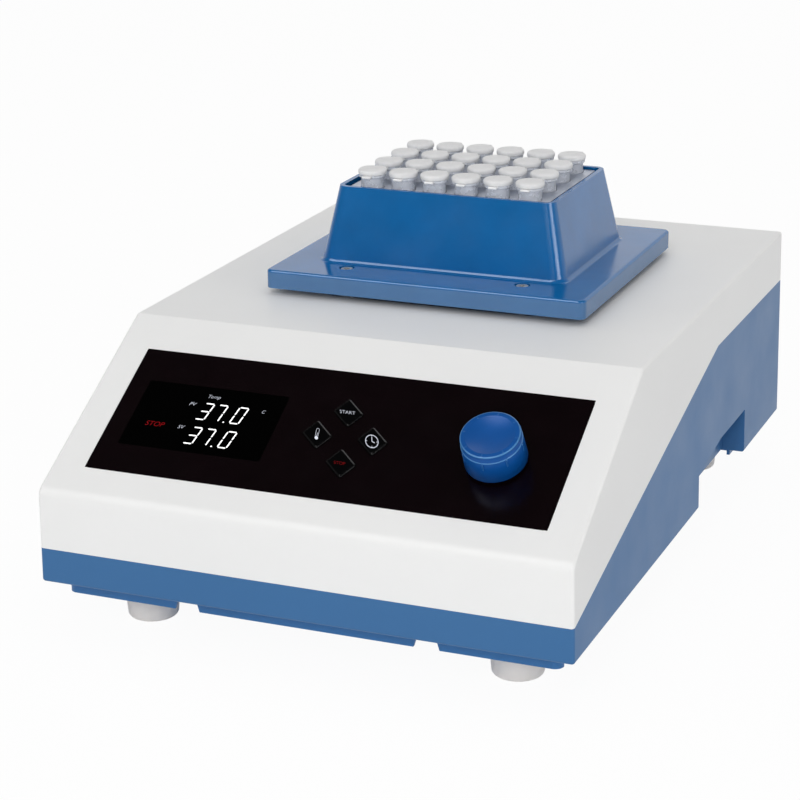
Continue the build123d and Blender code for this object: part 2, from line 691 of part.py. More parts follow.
def make_encoder():
    half = ENCODER_SIZE / 2
    bush_top = NUT_THICK + 1
    body = box_between((-half, -half, -BOARD_DROP), (half, half, -PANEL_THICK - MOULD_GAP))
    # The wall's opening takes only the round bush; the square body stays behind the wall.
    body = body - box_between((-half, -half, -WALL - MOULD_GAP), (half, half, 0))
    body = body + rod(BUSH_RADIUS, -WALL - 1, bush_top)
    body = body - rod(SPINDLE_RADIUS + RUNNING_FIT, -BOARD_DROP + 1, bush_top + 1)
    PIECES["encoder_body"] = KNOB_PLACE * body
    hexagon = extrude(RegularPolygon(NUT_RADIUS, 6), amount=NUT_THICK)
    nut = hexagon - rod(BUSH_RADIUS, -1, NUT_THICK + 1)
    PIECES["encoder_nut"] = KNOB_PLACE * nut
    PIECES["encoder_shaft"] = KNOB_PLACE * rod(
        SPINDLE_RADIUS, -BOARD_DROP + 1 + MOULD_GAP, KNOB_HEIGHT - 2 * KNOB_WALL)


def make_knob():
    inner = KNOB_STEP_RADIUS - KNOB_WALL
    hub = SPINDLE_RADIUS + KNOB_WALL
    hub_low = NUT_THICK + 1 + SLIDING_GAP
    roof = KNOB_STEP_H - KNOB_WALL
    bore = SPINDLE_RADIUS + RUNNING_FIT
    bore_top = KNOB_HEIGHT - 2 * KNOB_WALL + MOULD_GAP
    knob = turned([
        (0, KNOB_HEIGHT - DISH_DEPTH), (DISH_RADIUS, KNOB_HEIGHT - DISH_DEPTH),
        (DISH_RADIUS, KNOB_HEIGHT), (KNOB_TOP_RADIUS - KNOB_EDGE, KNOB_HEIGHT),
        (KNOB_TOP_RADIUS, KNOB_HEIGHT - KNOB_EDGE), (KNOB_TOP_RADIUS, KNOB_STEP_H),
        (KNOB_STEP_RADIUS, KNOB_STEP_H), (KNOB_SKIRT_RADIUS, KNOB_LIFT), (inner, KNOB_LIFT),
        (inner, roof), (hub, roof), (hub, hub_low), (bore, hub_low), (bore, bore_top),
        (0, bore_top),
    ])
    rib = box_between((KNOB_STEP_RADIUS - 1, -RIB_WIDTH / 2, KNOB_LIFT),
                      (KNOB_SKIRT_RADIUS + RIB_PROUD, RIB_WIDTH / 2, KNOB_STEP_H))
    tick_low = (KNOB_TOP_RADIUS - KNOB_EDGE + DISH_RADIUS - TICK_LENGTH) / 2
    tick = box_between((tick_low, -TICK_WIDTH / 2, KNOB_HEIGHT - KNOB_EDGE),
                       (tick_low + TICK_LENGTH, TICK_WIDTH / 2, KNOB_HEIGHT + TICK_RISE))
    for index in range(KNOB_RIBS):
        knob = knob + Rot(Z=index * 360 / KNOB_RIBS) * rib
        knob = knob + Rot(Z=index * 360 / KNOB_RIBS) * tick
    PIECES["knob"] = KNOB_PLACE * knob


# ---- Shaking drive ----
def around_block(half_x, half_y):
    """The four places at these distances from the middle of the block."""
    return [(sx * half_x, BLOCK_Y + sy * half_y) for sx, sy in CORNERS]


def make_frame():
    frame = Pos(0, BLOCK_Y, 0) * rounded_plate(
        FRAME_HALF_X, FRAME_HALF_Y, POST_RADIUS, FRAME_Z, FRAME_Z + FRAME_THICK)
    frame = frame - rod(BEARING_RADIUS, 0, FAR, 0, DRIVE_Y)
    for x, y in around_block(CRANK_X, CRANK_Y):
        frame = frame - rod(CRANK_PIN + BUSH_WALL, 0, FAR, x, y + ORBIT)
    posts, screws = [], []
    top = FRAME_Z + FRAME_THICK
    screw = pan_screw(M4, FRAME_THICK + SCREW_BITE)
    for x, y in around_block(POST_X, POST_Y):
        frame = frame - rod(M4 + SCREW_CLEARANCE, 0, FAR, x, y)
        hole = rod(M4, FRAME_Z - SCREW_BITE - 1, FRAME_Z + 1, x, y)
        posts.append(rod(POST_RADIUS, FLOOR_Z, FRAME_Z, x, y) - hole)
        screws.append(Pos(x, y, top) * screw)
    PIECES["drive_frame"] = frame
    PIECES["frame_posts"] = joined(posts)
    PIECES["frame_screws"] = joined(screws)


def make_motor():
    low = FRAME_Z - MOTOR_LENGTH
    shaft_low = FRAME_Z - MOTOR_LENGTH / 2
    can = rod(MOTOR_RADIUS, low, FRAME_Z)
    can = fillet(can.edges().sort_by(Axis.Z)[0], 3)
    can = can - rod(SHAFT_RADIUS + SLIDING_GAP, shaft_low - 1, FRAME_Z + 1)
    PIECES["motor_body"] = Pos(0, DRIVE_Y, 0) * can
    bearing = rod(BEARING_RADIUS, FRAME_Z, FRAME_Z + FRAME_THICK)
    bearing = bearing - rod(SHAFT_RADIUS + RUNNING_FIT, 0, FAR)
    PIECES["main_bearing"] = Pos(0, DRIVE_Y, 0) * bearing
    top = HUB_Z + HUB_THICK - 2
    PIECES["motor_shaft"] = Pos(0, DRIVE_Y, 0) * rod(SHAFT_RADIUS, shaft_low, top)


def make_eccentric():
    top = HUB_Z + HUB_THICK
    hub = rod(HUB_RADIUS, HUB_Z, top)
    hub = hub - rod(SHAFT_RADIUS, 0, top - 2)
    hub = hub + rod(SHAFT_RADIUS, top - 1, PLATFORM_TOP_Z, 0, -ORBIT)
    PIECES["eccentric_hub"] = Pos(0, DRIVE_Y, 0) * hub
    weight = rod(WEIGHT_RADIUS, HUB_Z, top) - rod(HUB_RADIUS, 0, FAR)
    weight = weight - box_between((-FAR, -FAR, 0), (FAR, 0, FAR))
    PIECES["counterweight"] = Pos(0, DRIVE_Y, 0) * weight


def make_cranks():
    low = FRAME_Z + FRAME_THICK + HUB_LIFT
    frame_bushes, platform_bushes = [], []
    for index, (x, y) in enumerate(around_block(CRANK_X, CRANK_Y), start=1):
        pin = rod(CRANK_PIN, FRAME_Z, low + 1)
        body = rod(CRANK_RADIUS, low, low + CRANK_LENGTH)
        upper = rod(CRANK_PIN, low + CRANK_LENGTH - 1, PLATFORM_TOP_Z, 0, -ORBIT)
        PIECES[f"guide_crank_{index}"] = Pos(x, y + ORBIT, 0) * fused([pin, body, upper])
        ring = rod(CRANK_PIN + BUSH_WALL, 0, FRAME_THICK) - rod(CRANK_PIN + RUNNING_FIT, -1, FAR)
        frame_bushes.append(Pos(x, y + ORBIT, FRAME_Z) * ring)
        ring = rod(CRANK_PIN + BUSH_WALL, 0, PLATFORM_THICK) - rod(CRANK_PIN + RUNNING_FIT, -1, FAR)
        platform_bushes.append(Pos(x, y, PLATFORM_Z) * ring)
    PIECES["frame_bushes"] = joined(frame_bushes)
    PIECES["platform_bushes"] = joined(platform_bushes)


def make_platform():
    plate = Pos(0, BLOCK_Y, 0) * rounded_plate(
        PLATFORM_HALF_X, PLATFORM_HALF_Y, PILLAR_RADIUS, PLATFORM_Z, PLATFORM_TOP_Z)
    for x, y in around_block(PILLAR_X, PILLAR_Y):
        plate = plate + rod(PILLAR_RADIUS, PLATFORM_Z, COVER_Z, x, y)
        plate = plate - rod(M3, COVER_Z - SCREW_BITE - 1, COVER_Z + 1, x, y)
    plate = plate - rod(BEARING_RADIUS, 0, FAR, 0, BLOCK_Y)
    for x, y in around_block(CRANK_X, CRANK_Y):
        plate = plate - rod(CRANK_PIN + BUSH_WALL, 0, FAR, x, y)
    PIECES["shaker_platform"] = plate
    bearing = rod(BEARING_RADIUS, PLATFORM_Z, PLATFORM_TOP_Z)
    bearing = bearing - rod(SHAFT_RADIUS + RUNNING_FIT, 0, FAR)
    PIECES["platform_bearing"] = Pos(0, BLOCK_Y, 0) * bearing


# ---- Heated block ----
def make_heater():
    half_x, half_y = BLOCK_HALF_WIDTH + HEATER_MARGIN, BLOCK_HALF_DEPTH + HEATER_MARGIN
    place = Pos(0, BLOCK_Y, 0)
    mid_z = HEATER_Z + HEATER_THICK / 2
    PIECES["insulation_pad"] = place * rounded_plate(half_x, half_y, 2, PLATFORM_TOP_Z, HEATER_Z)
    plate = rounded_plate(half_x, half_y, 2, HEATER_Z, BLOCK_Z)
    cartridges = []
    for side in SIDES:
        lengthways = Pos(0, side * CARTRIDGE_Y, mid_z) * Rot(Y=90)
        plate = plate - lengthways * Cylinder(CARTRIDGE_RADIUS - MOULD_GAP / 2, FAR)
        cartridges.append(place * lengthways * Cylinder(
            CARTRIDGE_RADIUS - MOULD_GAP, 2 * half_x))
    sensor_place = Pos(half_x - SENSOR_LENGTH / 2, 0, mid_z) * Rot(Y=90)
    plate = plate - sensor_place * Cylinder(SENSOR_RADIUS + MOULD_GAP / 2, SENSOR_LENGTH)
    PIECES["heater_plate"] = place * plate
    PIECES["heater_cartridges"] = joined(cartridges)
    PIECES["temperature_sensor"] = place * sensor_place * Cylinder(
        SENSOR_RADIUS, SENSOR_LENGTH - MOULD_GAP)


def tube_places():
    """Well centres row by row, the front row first."""
    rows = []
    for row in range(ROWS):
        y = BLOCK_Y + (row - (ROWS - 1) / 2) * PITCH_Y
        rows.append([((column - (COLUMNS - 1) / 2) * PITCH_X, y) for column in range(COLUMNS)])
    return rows


def make_tube_block():
    block = Pos(0, BLOCK_Y, 0) * rounded_plate(
        BLOCK_HALF_WIDTH, BLOCK_HALF_DEPTH, 2, BLOCK_Z, BLOCK_TOP_Z)
    cone_z = TUBE_TIP_Z + TUBE_CONE
    tip = TUBE_TIP_RADIUS + SLIDING_GAP
    well = turned([
        (0, WELL_TIP_Z), (tip, WELL_TIP_Z), (WELL_RADIUS, cone_z),
        (WELL_RADIUS, BLOCK_TOP_Z + 1), (0, BLOCK_TOP_Z + 1),
    ])
    for row in tube_places():
        for x, y in row:
            block = block - Pos(x, y, 0) * well
    PIECES["tube_block"] = block


def tower(shrink, low, high):
    """The tapered tower between two heights, drawn in by the wall thickness."""
    def section(z):
        share = (z - COVER_TOP_Z) / (TOWER_TOP_Z - COVER_TOP_Z)
        half_x = TOWER_BASE_HALF_X - share * TOWER_LEAN_X - shrink
        half_y = TOWER_BASE_HALF_Y - share * TOWER_LEAN_Y - shrink
        corner = TOWER_FOOT_CORNER + share * (TOWER_TOP_CORNER - TOWER_FOOT_CORNER) - shrink
        return Pos(0, 0, z) * RectangleRounded(2 * half_x, 2 * half_y, corner)
    return loft([section(low), section(high)])


def block_screw():
    """A hexagon socket cap screw that holds the cover to a pillar."""
    length = COVER_THICK - BLOCK_SCREW_SINK + SCREW_BITE
    screw = screw_form(M3, length, BLOCK_SCREW_HEAD, BLOCK_SCREW_RISE)
    socket = extrude(RegularPolygon(BLOCK_SCREW_SOCKET, 6), amount=BLOCK_SCREW_SOCKET_DEPTH + 1)
    return screw - Pos(0, 0, BLOCK_SCREW_RISE - BLOCK_SCREW_SOCKET_DEPTH) * socket


def make_block_cover():
    plate = rounded_plate(COVER_HALF_X, COVER_HALF_Y, COVER_CORNER, COVER_Z, COVER_TOP_Z)
    plate = fillet(plate.faces().sort_by(Axis.Z)[-1].edges(), COVER_EDGE)
    cover = plate + tower(0, COVER_TOP_Z - 1, TOWER_TOP_Z)
    foot = cover.edges().filter_by(
        lambda edge: abs(edge.center().Z - COVER_TOP_Z) < 0.01
        and abs(edge.center().X) < TOWER_BASE_HALF_X + 1
        and abs(edge.center().Y) < TOWER_BASE_HALF_Y + 1)
    cover = fillet(foot, TOWER_FOOT_RADIUS)
    hollow = rounded_plate(
        COVER_HALF_X - COVER_WALL, COVER_HALF_Y - COVER_WALL, COVER_CORNER - COVER_WALL,
        COVER_Z - 1, COVER_TOP_Z - COVER_WALL)
    for sx, sy in CORNERS:
        hollow = hollow - rod(PILLAR_RADIUS, 0, FAR, sx * PILLAR_X, sy * PILLAR_Y)
    cover = cover - hollow - tower(COVER_WALL, COVER_Z, TOWER_TOP_Z + 1)
    screw, screws, head_z = block_screw(), [], COVER_TOP_Z - BLOCK_SCREW_SINK
    for sx, sy in CORNERS:
        x, y = sx * PILLAR_X, sy * PILLAR_Y
        cover = cover - rod(M3 + SCREW_CLEARANCE, 0, FAR, x, y)
        cover = cover - rod(BLOCK_SCREW_HOLE, head_z, FAR, x, y)
        screws.append(Pos(x, BLOCK_Y + y, head_z) * screw)
    PIECES["block_cover"] = Pos(0, BLOCK_Y, 0) * cover
    PIECES["block_screws"] = joined(screws)


def make_tubes():
    lid_low = LID_TOP_Z - LID_THICK
    collar_low = lid_low - COLLAR_THICK
    body = turned([
        (0, TUBE_TIP_Z), (TUBE_TIP_RADIUS, TUBE_TIP_Z), (TUBE_RADIUS, TUBE_TIP_Z + TUBE_CONE),
        (TUBE_RADIUS, collar_low), (COLLAR_RADIUS, collar_low), (COLLAR_RADIUS, lid_low),
        (LID_RADIUS, lid_low), (LID_RADIUS, LID_TOP_Z - LID_EDGE),
        (LID_RADIUS - LID_EDGE, LID_TOP_Z), (0, LID_TOP_Z),
    ])
    hinge = box_between((-HINGE_WIDTH / 2, -LID_RADIUS - HINGE_REACH, lid_low - HINGE_THICK),
                        (HINGE_WIDTH / 2, -COLLAR_RADIUS + 1, lid_low))
    tab = box_between((-TAB_WIDTH / 2, LID_RADIUS - 1, lid_low),
                      (TAB_WIDTH / 2, LID_RADIUS + TAB_REACH, lid_low + LID_THICK / 2))
    tube = fused([body, hinge, tab])
    for index, row in enumerate(tube_places(), start=1):
        PIECES[f"tubes_row_{index}"] = joined([Pos(x, y, 0) * tube for x, y in row])


# ---- Rear connections ----
def switch_frame_half():
    """Half width and half height of the switch frame's body."""
    half_a = ROCKER_WIDTH / 2 + SLIDING_GAP + FRAME_WALL
    half_b = rocker_reach() + SLIDING_GAP + FRAME_WALL
    return half_a, half_b


def rocker_top_h():
    """Height of the rocker's ends above its middle pivot plane, level."""
    return ROCKER_MID_H + ROCKER_HALF_HEIGHT * math.tan(math.radians(ROCKER_TILT))


def rocker_reach():
    """How far the pressed end of the rocker reaches from the pivot line."""
    rise = rocker_top_h() - ROCKER_PIVOT_H
    angle = math.atan2(rise, ROCKER_HALF_HEIGHT) - math.radians(ROCKER_TILT)
    return math.hypot(rise, ROCKER_HALF_HEIGHT) * math.cos(angle)


def make_inlet():
    body_x, body_z = INLET_WIDTH / 2 - FLANGE_OVERLAP, INLET_HEIGHT / 2 - FLANGE_OVERLAP
    place = REAR * Pos(INLET_A, MODULE_Z, 0)
    flange = rounded_plate(INLET_WIDTH / 2, INLET_HEIGHT / 2, 2, 0, FLANGE)
    body = box_between((-body_x, -body_z, -INLET_BODY_DEPTH), (body_x, body_z, FLANGE / 2))
    half_w, half_h = SOCKET_WIDTH / 2, SOCKET_HEIGHT / 2
    socket = extrude(make_face(Polyline(
        (-half_w, -half_h), (half_w, -half_h), (half_w, half_h - SOCKET_CORNER),
        (half_w - SOCKET_CORNER, half_h), (-half_w + SOCKET_CORNER, half_h),
        (-half_w, half_h - SOCKET_CORNER), close=True,
    )), amount=SOCKET_DEPTH + 1)
    inlet = flange + body - Pos(SOCKET_SHIFT, 0, FLANGE - SOCKET_DEPTH) * socket
    drawer_space = Box(FUSE_WIDTH + 2 * MOULD_GAP, FUSE_HEIGHT + 2 * MOULD_GAP, 2 * FUSE_DEPTH)
    inlet = inlet - Pos(FUSE_SHIFT, 0, FLANGE) * drawer_space
    pin_low = FLANGE - SOCKET_DEPTH
    pins = []
    for shift, rise in ((-PIN_SPREAD, -PIN_RISE), (0.0, PIN_RISE), (PIN_SPREAD, -PIN_RISE)):
        pins.append(place * Pos(SOCKET_SHIFT + shift, rise, pin_low + PIN_LENGTH / 2) * Box(
            PIN_THICK, PIN_HEIGHT, PIN_LENGTH))
    drawer = Pos(FUSE_SHIFT, 0, FLANGE - FUSE_DEPTH / 2) * Box(
        FUSE_WIDTH, FUSE_HEIGHT, FUSE_DEPTH)
    slot = Pos(FUSE_SHIFT, FUSE_HEIGHT / 2, FLANGE) * Box(FUSE_WIDTH / 2, 3, 2)
    PIECES["power_inlet"] = place * inlet
    PIECES["inlet_pins"] = joined(pins)
    PIECES["fuse_drawer"] = place * (drawer - slot)


def make_switch():
    half_a, half_b = switch_frame_half()
    place = REAR * Pos(SWITCH_A, MODULE_Z, 0)
    flange = rounded_plate(
        half_a + FLANGE_OVERLAP / 2, half_b + FLANGE_OVERLAP / 2, 1.5, 0, FLANGE)
    body = box_between((-half_a, -half_b, -SWITCH_FRAME_DEPTH), (half_a, half_b, FLANGE / 2))
    inside = box_between(
        (-half_a + FRAME_WALL, -half_b + FRAME_WALL, -SWITCH_FRAME_DEPTH + FRAME_WALL),
        (half_a - FRAME_WALL, half_b - FRAME_WALL, 2 * FLANGE))
    axle = Pos(0, 0, ROCKER_PIVOT_H) * Rot(Y=90)
    frame = flange + body - inside
    frame = frame - axle * Cylinder(TRUNNION + RUNNING_FIT, 2 * (half_a - FRAME_WALL / 4))
    PIECES["switch_frame"] = place * frame
    top_h = rocker_top_h()
    outline = make_face(Polyline(
        (-ROCKER_HALF_HEIGHT, top_h), (0, ROCKER_MID_H), (ROCKER_HALF_HEIGHT, top_h),
        (ROCKER_HALF_HEIGHT, top_h - ROCKER_EDGE), (ROCKER_DEPTH, ROCKER_PIVOT_H - ROCKER_DEPTH),
        (-ROCKER_DEPTH, ROCKER_PIVOT_H - ROCKER_DEPTH),
        (-ROCKER_HALF_HEIGHT, top_h - ROCKER_EDGE), close=True,
    ))
    rocker = extrude(Plane.YZ * outline, amount=ROCKER_WIDTH / 2, both=True)
    rocker = rocker + axle * Cylinder(TRUNNION, 2 * (half_a - FRAME_WALL / 2))
    tilt = Pos(0, 0, ROCKER_PIVOT_H) * Rot(X=ROCKER_TILT) * Pos(0, 0, -ROCKER_PIVOT_H)
    PIECES["power_rocker"] = place * tilt * rocker


# ---- Power supply ----
def make_supply():
    low = FLOOR_Z + SUPPLY_LIFT
    top = low + BOARD_THICK
    board = Pos(0, SUPPLY_Y, low + BOARD_THICK / 2) * Box(
        SUPPLY_WIDTH, SUPPLY_DEPTH, BOARD_THICK)
    pillars, screws = [], []
    screw = pan_screw(M3, BOARD_THICK + SUPPLY_LIFT / 2)
    for x, y in supply_holes():
        board = board - rod(M3 + SCREW_CLEARANCE, 0, FAR, x, y)
        hole = rod(M3, low - SUPPLY_LIFT / 2 - 1, low + 1, x, y)
        pillars.append(rod(M3 * 2, FLOOR_Z, low, x, y) - hole)
        screws.append(Pos(x, y, top) * screw)
    PIECES["power_board"] = board
    PIECES["board_pillars"] = joined(pillars)
    PIECES["power_board_screws"] = joined(screws)
    parts_y = SUPPLY_Y + PARTS_SHIFT
    place = Pos(TRANSFORMER_X, parts_y, top + TRANSFORMER_SIZE[2] / 2)
    PIECES["power_transformer"] = place * Box(*TRANSFORMER_SIZE)
    PIECES["power_capacitors"] = joined([
        rod(CAPACITOR_RADIUS, top, top + CAPACITOR_HEIGHT, x, parts_y) for x in CAPACITOR_X
    ])


MAKERS = (
    make_housings, make_base_pan, make_feet, make_panel, make_keys, make_control_board,
    make_encoder, make_knob, make_frame, make_motor, make_eccentric, make_cranks,
    make_platform, make_heater, make_tube_block, make_block_cover, make_tubes,
    make_inlet, make_switch, make_supply,
)

for make in MAKERS:
    make()

os.makedirs("parts", exist_ok=True)
for name, piece in PIECES.items():
    export_step(piece, f"parts/{name}.step")
print(len(PIECES), "nodes")
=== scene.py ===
import json
import math

import bmesh
import bpy
from mathutils import Matrix, Vector


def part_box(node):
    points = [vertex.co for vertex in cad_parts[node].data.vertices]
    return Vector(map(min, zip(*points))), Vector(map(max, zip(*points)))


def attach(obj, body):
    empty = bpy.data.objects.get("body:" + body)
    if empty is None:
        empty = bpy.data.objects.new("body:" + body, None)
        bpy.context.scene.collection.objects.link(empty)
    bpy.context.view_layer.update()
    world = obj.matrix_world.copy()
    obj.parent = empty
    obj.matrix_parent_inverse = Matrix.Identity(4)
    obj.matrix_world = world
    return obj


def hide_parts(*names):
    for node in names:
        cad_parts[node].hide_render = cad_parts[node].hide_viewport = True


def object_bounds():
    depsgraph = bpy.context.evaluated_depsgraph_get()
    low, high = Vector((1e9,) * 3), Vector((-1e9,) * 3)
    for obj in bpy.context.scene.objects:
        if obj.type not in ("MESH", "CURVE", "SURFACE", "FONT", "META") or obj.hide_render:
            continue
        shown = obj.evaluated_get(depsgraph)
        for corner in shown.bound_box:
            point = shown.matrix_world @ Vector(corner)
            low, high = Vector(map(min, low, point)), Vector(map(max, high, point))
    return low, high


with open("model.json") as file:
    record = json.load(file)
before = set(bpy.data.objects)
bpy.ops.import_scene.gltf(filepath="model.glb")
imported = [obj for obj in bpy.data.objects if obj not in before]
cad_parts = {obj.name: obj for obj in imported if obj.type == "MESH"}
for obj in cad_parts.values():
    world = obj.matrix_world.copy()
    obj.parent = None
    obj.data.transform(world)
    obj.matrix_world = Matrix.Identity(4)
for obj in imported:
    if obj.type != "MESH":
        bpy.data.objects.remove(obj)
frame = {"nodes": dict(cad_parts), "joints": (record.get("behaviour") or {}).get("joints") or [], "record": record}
cad_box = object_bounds()
nodes = frame["nodes"]
joints = {joint["name"]: joint for joint in frame["joints"]}

MM = 0.001

# ---- Camera, as the reference view sees the instrument ----
CAMERA_AZIMUTH = math.radians(22.483)
CAMERA_ELEVATION = math.radians(18.487)
CAMERA_ROLL = math.radians(-0.63)
CAMERA_DISTANCE = 938.5 * MM
AIM_HEIGHT = 118.65 * MM
AIM_RIGHT = 43.9 * MM
AIM_UP = 0.5 * MM
LENS = 105.66
SENSOR = 36.0

# ---- Studio ----
AMBIENT = 0.52
DARK_STUDIO = 0.06           # what gloss sees overhead and behind the camera
FLOOR_GLOW = 0.95            # the rest of the floor takes the object's shadow
FLOOR_HALF = 4.0
FLOOR_WHITE = (0.97, 0.97, 0.97, 1)
GLOSS_BACKDROP = 0.95        # what gloss sees low down behind the object
WHITE_LIGHT = (1, 1, 1, 1)

GLOSS_SPOTS = (              # direction, inner and outer angle, strength, in reflections only
    ((-0.363, -0.62, 0.70), 18, 28, 6.0),
    ((0.88, -0.46, 0.13), 12, 19, 4.2),
    ((-0.10, 0.70, 0.71), 8, 15, 1.6),
)

# ---- Control face ----
PANEL_MID_V = 50.9 * MM      # panel middle, measured up the slope from the crease
PANEL_THICK = 1.5 * MM
PANEL_LOW_V = 15.7 * MM
PANEL_HIGH_V = 86.1 * MM
PANEL_CORNER = 2.0 * MM
INK = 0.03 * MM              # how far printed marks stand off what they are on
INK_UNDER = 0.3 * INK        # the border's corners lie lower than other marks
WINDOW_HALF_THICK = 0.7 * MM
DIGIT_HEIGHT = 9.8 * MM
DIGIT_WIDTH = 4.8 * MM
DIGIT_PITCH = 6.5 * MM
POINT_SPACE = 3.3 * MM
DIGIT_STROKE = 0.62 * MM
DIGIT_LEAN = 0.17
FIRST_ROW_V = 54.3 * MM
SECOND_ROW_V = 40.4 * MM
ROW_RIGHT_U = -46.6 * MM     # middle of the last digit
KEY_LEAN = 0.367             # key legends lean left on the slope, and so read upright
KEY_STRETCH = 1.17

# ---- Knob: radii, and heights over the control face ----
KNOB_HEIGHT = 16.0 * MM
KNOB_STEP = 12.6 * MM
KNOB_LOW = 1.3 * MM
KNOB_TOP_RADIUS = 12.6 * MM
KNOB_STEP_RADIUS = 12.95 * MM
KNOB_SKIRT_RADIUS = 13.3 * MM
KNOB_INNER_RADIUS = 11.2 * MM
DISH_RADIUS = 10.2 * MM
DISH_DEPTH = 0.3 * MM
KNOB_RIBS = 8

# ---- Block cover ----
COVER_EDGE_HEIGHT = 7.75 * MM  # the plate's straight edge, under its rounded top corner, where the painted reflection ends
REFLECTION_FADE = 0.6 * MM           # over which the painted reflection on the plate's edge fades into the cover's blue

# ---- Tubes ----
LID_RADIUS = 6.7 * MM
LID_THICK = 2.8 * MM
COLLAR_RADIUS = 6.2 * MM
COLLAR_THICK = 1.3 * MM
TUBE_RADIUS = 5.4 * MM
TUBE_WALL = 0.9 * MM
TUBE_TIP_RADIUS = 1.8 * MM
TUBE_CONE = 17.0 * MM
HINGE_REACH = 1.2 * MM
TAB_REACH = 2.0 * MM
COLUMNS = 6
PITCH_X = 15.5 * MM
PLUG_DEPTH = 2.4 * MM        # how far the lid's plug reaches into the neck
STRAP_HALF_WIDTH = 2.1 * MM
TAB_HALF_WIDTH = 3.4 * MM
LATHE_STEPS = 40


# ---- Node material helpers ----
def shader(name):
    """A new material with its node tree and principled shader."""
    material = bpy.data.materials.new(name)
    material.use_nodes = True
    tree = material.node_tree
    return material, tree, tree.nodes["Principled BSDF"]


def node(tree, kind, **settings):
    """A new node with its input values set by name."""
    made = tree.nodes.new(kind)
    for key, value in settings.items():
        made.inputs[key.replace("_", " ")].default_value = value
    return made


def noise(tree, scale, detail=3.0, roughness=0.5, stretch=(1, 1, 1)):
    """Noise in object coordinates, with scale in bumps per metre."""
    place = tree.nodes.new("ShaderNodeTexCoord")
    mapping = node(tree, "ShaderNodeMapping", Scale=stretch)
    texture = node(tree, "ShaderNodeTexNoise", Scale=scale, Detail=detail, Roughness=roughness)
    tree.links.new(place.outputs["Object"], mapping.inputs["Vector"])
    tree.links.new(mapping.outputs["Vector"], texture.inputs["Vector"])
    return texture.outputs["Fac"]


def spread(tree, source, low, high, start=0.3, end=0.7):
    """Maps a 0..1 texture to a range of numbers."""
    ranged = node(tree, "ShaderNodeMapRange", From_Min=start, From_Max=end)
    ranged.inputs["To Min"].default_value = low
    ranged.inputs["To Max"].default_value = high
    tree.links.new(source, ranged.inputs["Value"])
    return ranged.outputs["Result"]


def colour_ramp(tree, source, dark, light):
    """A colour that moves between two colours with a texture."""
    ramp = tree.nodes.new("ShaderNodeValToRGB")
    ramp.color_ramp.elements[0].position = 0.3
    ramp.color_ramp.elements[1].position = 0.7
    ramp.color_ramp.elements[0].color = (*dark, 1)
    ramp.color_ramp.elements[1].color = (*light, 1)
    tree.links.new(source, ramp.inputs["Fac"])
    return ramp.outputs["Color"]


def vary_colour(tree, bsdf, source, dark, light):
    """Base colour that moves between two colours with a texture."""
    tree.links.new(colour_ramp(tree, source, dark, light), bsdf.inputs["Base Color"])


def bump(tree, bsdf, source, height, strength=1.0):
    """Surface relief from a texture, with its height in metres."""
    relief = node(tree, "ShaderNodeBump", Strength=strength, Distance=height)
    tree.links.new(source, relief.inputs["Height"])
    tree.links.new(relief.outputs["Normal"], bsdf.inputs["Normal"])
    return relief


def below_height(tree, height):
    """1 below a height over the bench and 0 above it: the mask of the painted reflection on the plate's edge."""
    place = tree.nodes.new("ShaderNodeTexCoord")
    parts = tree.nodes.new("ShaderNodeSeparateXYZ")
    tree.links.new(place.outputs["Object"], parts.inputs[0])
    return spread(tree, parts.outputs["Z"], 1.0, 0.0, height - REFLECTION_FADE, height)


def tinted(colour, factor):
    """A colour made lighter or darker."""
    return tuple(min(1.0, channel * factor) for channel in colour)


def moulded_plastic(name, colour, roughness, grain=2600, specular=0.5, change=0.03):
    """Moulded plastic with a spark-eroded grain and faint cloudy colour."""
    material, tree, bsdf = shader(name)
    bsdf.inputs["Specular IOR Level"].default_value = specular
    clouds = noise(tree, 14, 4)
    vary_colour(tree, bsdf, clouds, tinted(colour, 1 - change), tinted(colour, 1 + change))
    tree.links.new(
        spread(tree, noise(tree, 40, 3), roughness - 0.04, roughness + 0.05),
        bsdf.inputs["Roughness"])
    bump(tree, bsdf, noise(tree, grain, 2), 0.02 * MM, 0.18)
    return material


def glossy_moulding(name, colour, roughness, specular=0.5, edge=None):
    """Polished moulding with flow marks, and, where a colour and height are given, a painted reflection in that
    colour below the height.
    """
    material, tree, bsdf = shader(name)
    bsdf.inputs["Specular IOR Level"].default_value = specular
    flow = noise(tree, 38, 5, 0.62)
    vary_colour(tree, bsdf, flow, tinted(colour, 0.90), tinted(colour, 1.10))
    # Below the height the base colour turns to a lighter blue: a painted reflection on the plate's edge.
    if edge:
        reflection_colour, height = edge
        mixed = tree.nodes.new("ShaderNodeMix")
        mixed.data_type = "RGBA"
        tree.links.new(below_height(tree, height), mixed.inputs["Factor"])
        tree.links.new(bsdf.inputs["Base Color"].links[0].from_socket, mixed.inputs["A"])
        tree.links.new(colour_ramp(tree, flow, tinted(reflection_colour, 0.94), tinted(reflection_colour, 1.06)),
                       mixed.inputs["B"])
        tree.links.new(mixed.outputs["Result"], bsdf.inputs["Base Color"])
    tree.links.new(
        spread(tree, noise(tree, 55, 4), roughness - 0.04, roughness + 0.07),
        bsdf.inputs["Roughness"])
    bump(tree, bsdf, noise(tree, 260, 3), 0.05 * MM, 0.15)
    return material


def machined_metal(name, colour, roughness, grain=900, stretch=(1, 12, 1), metallic=1.0):
    """Metal with fine tool marks drawn out along one way."""
    material, tree, bsdf = shader(name)
    bsdf.inputs["Metallic"].default_value = metallic
    marks = noise(tree, grain, 3, stretch=stretch)
    vary_colour(tree, bsdf, marks, tinted(colour, 0.92), tinted(colour, 1.05))
    tree.links.new(spread(tree, marks, roughness - 0.06, roughness + 0.08),
                   bsdf.inputs["Roughness"])
    bump(tree, bsdf, marks, 0.01 * MM, 0.3)
    return material


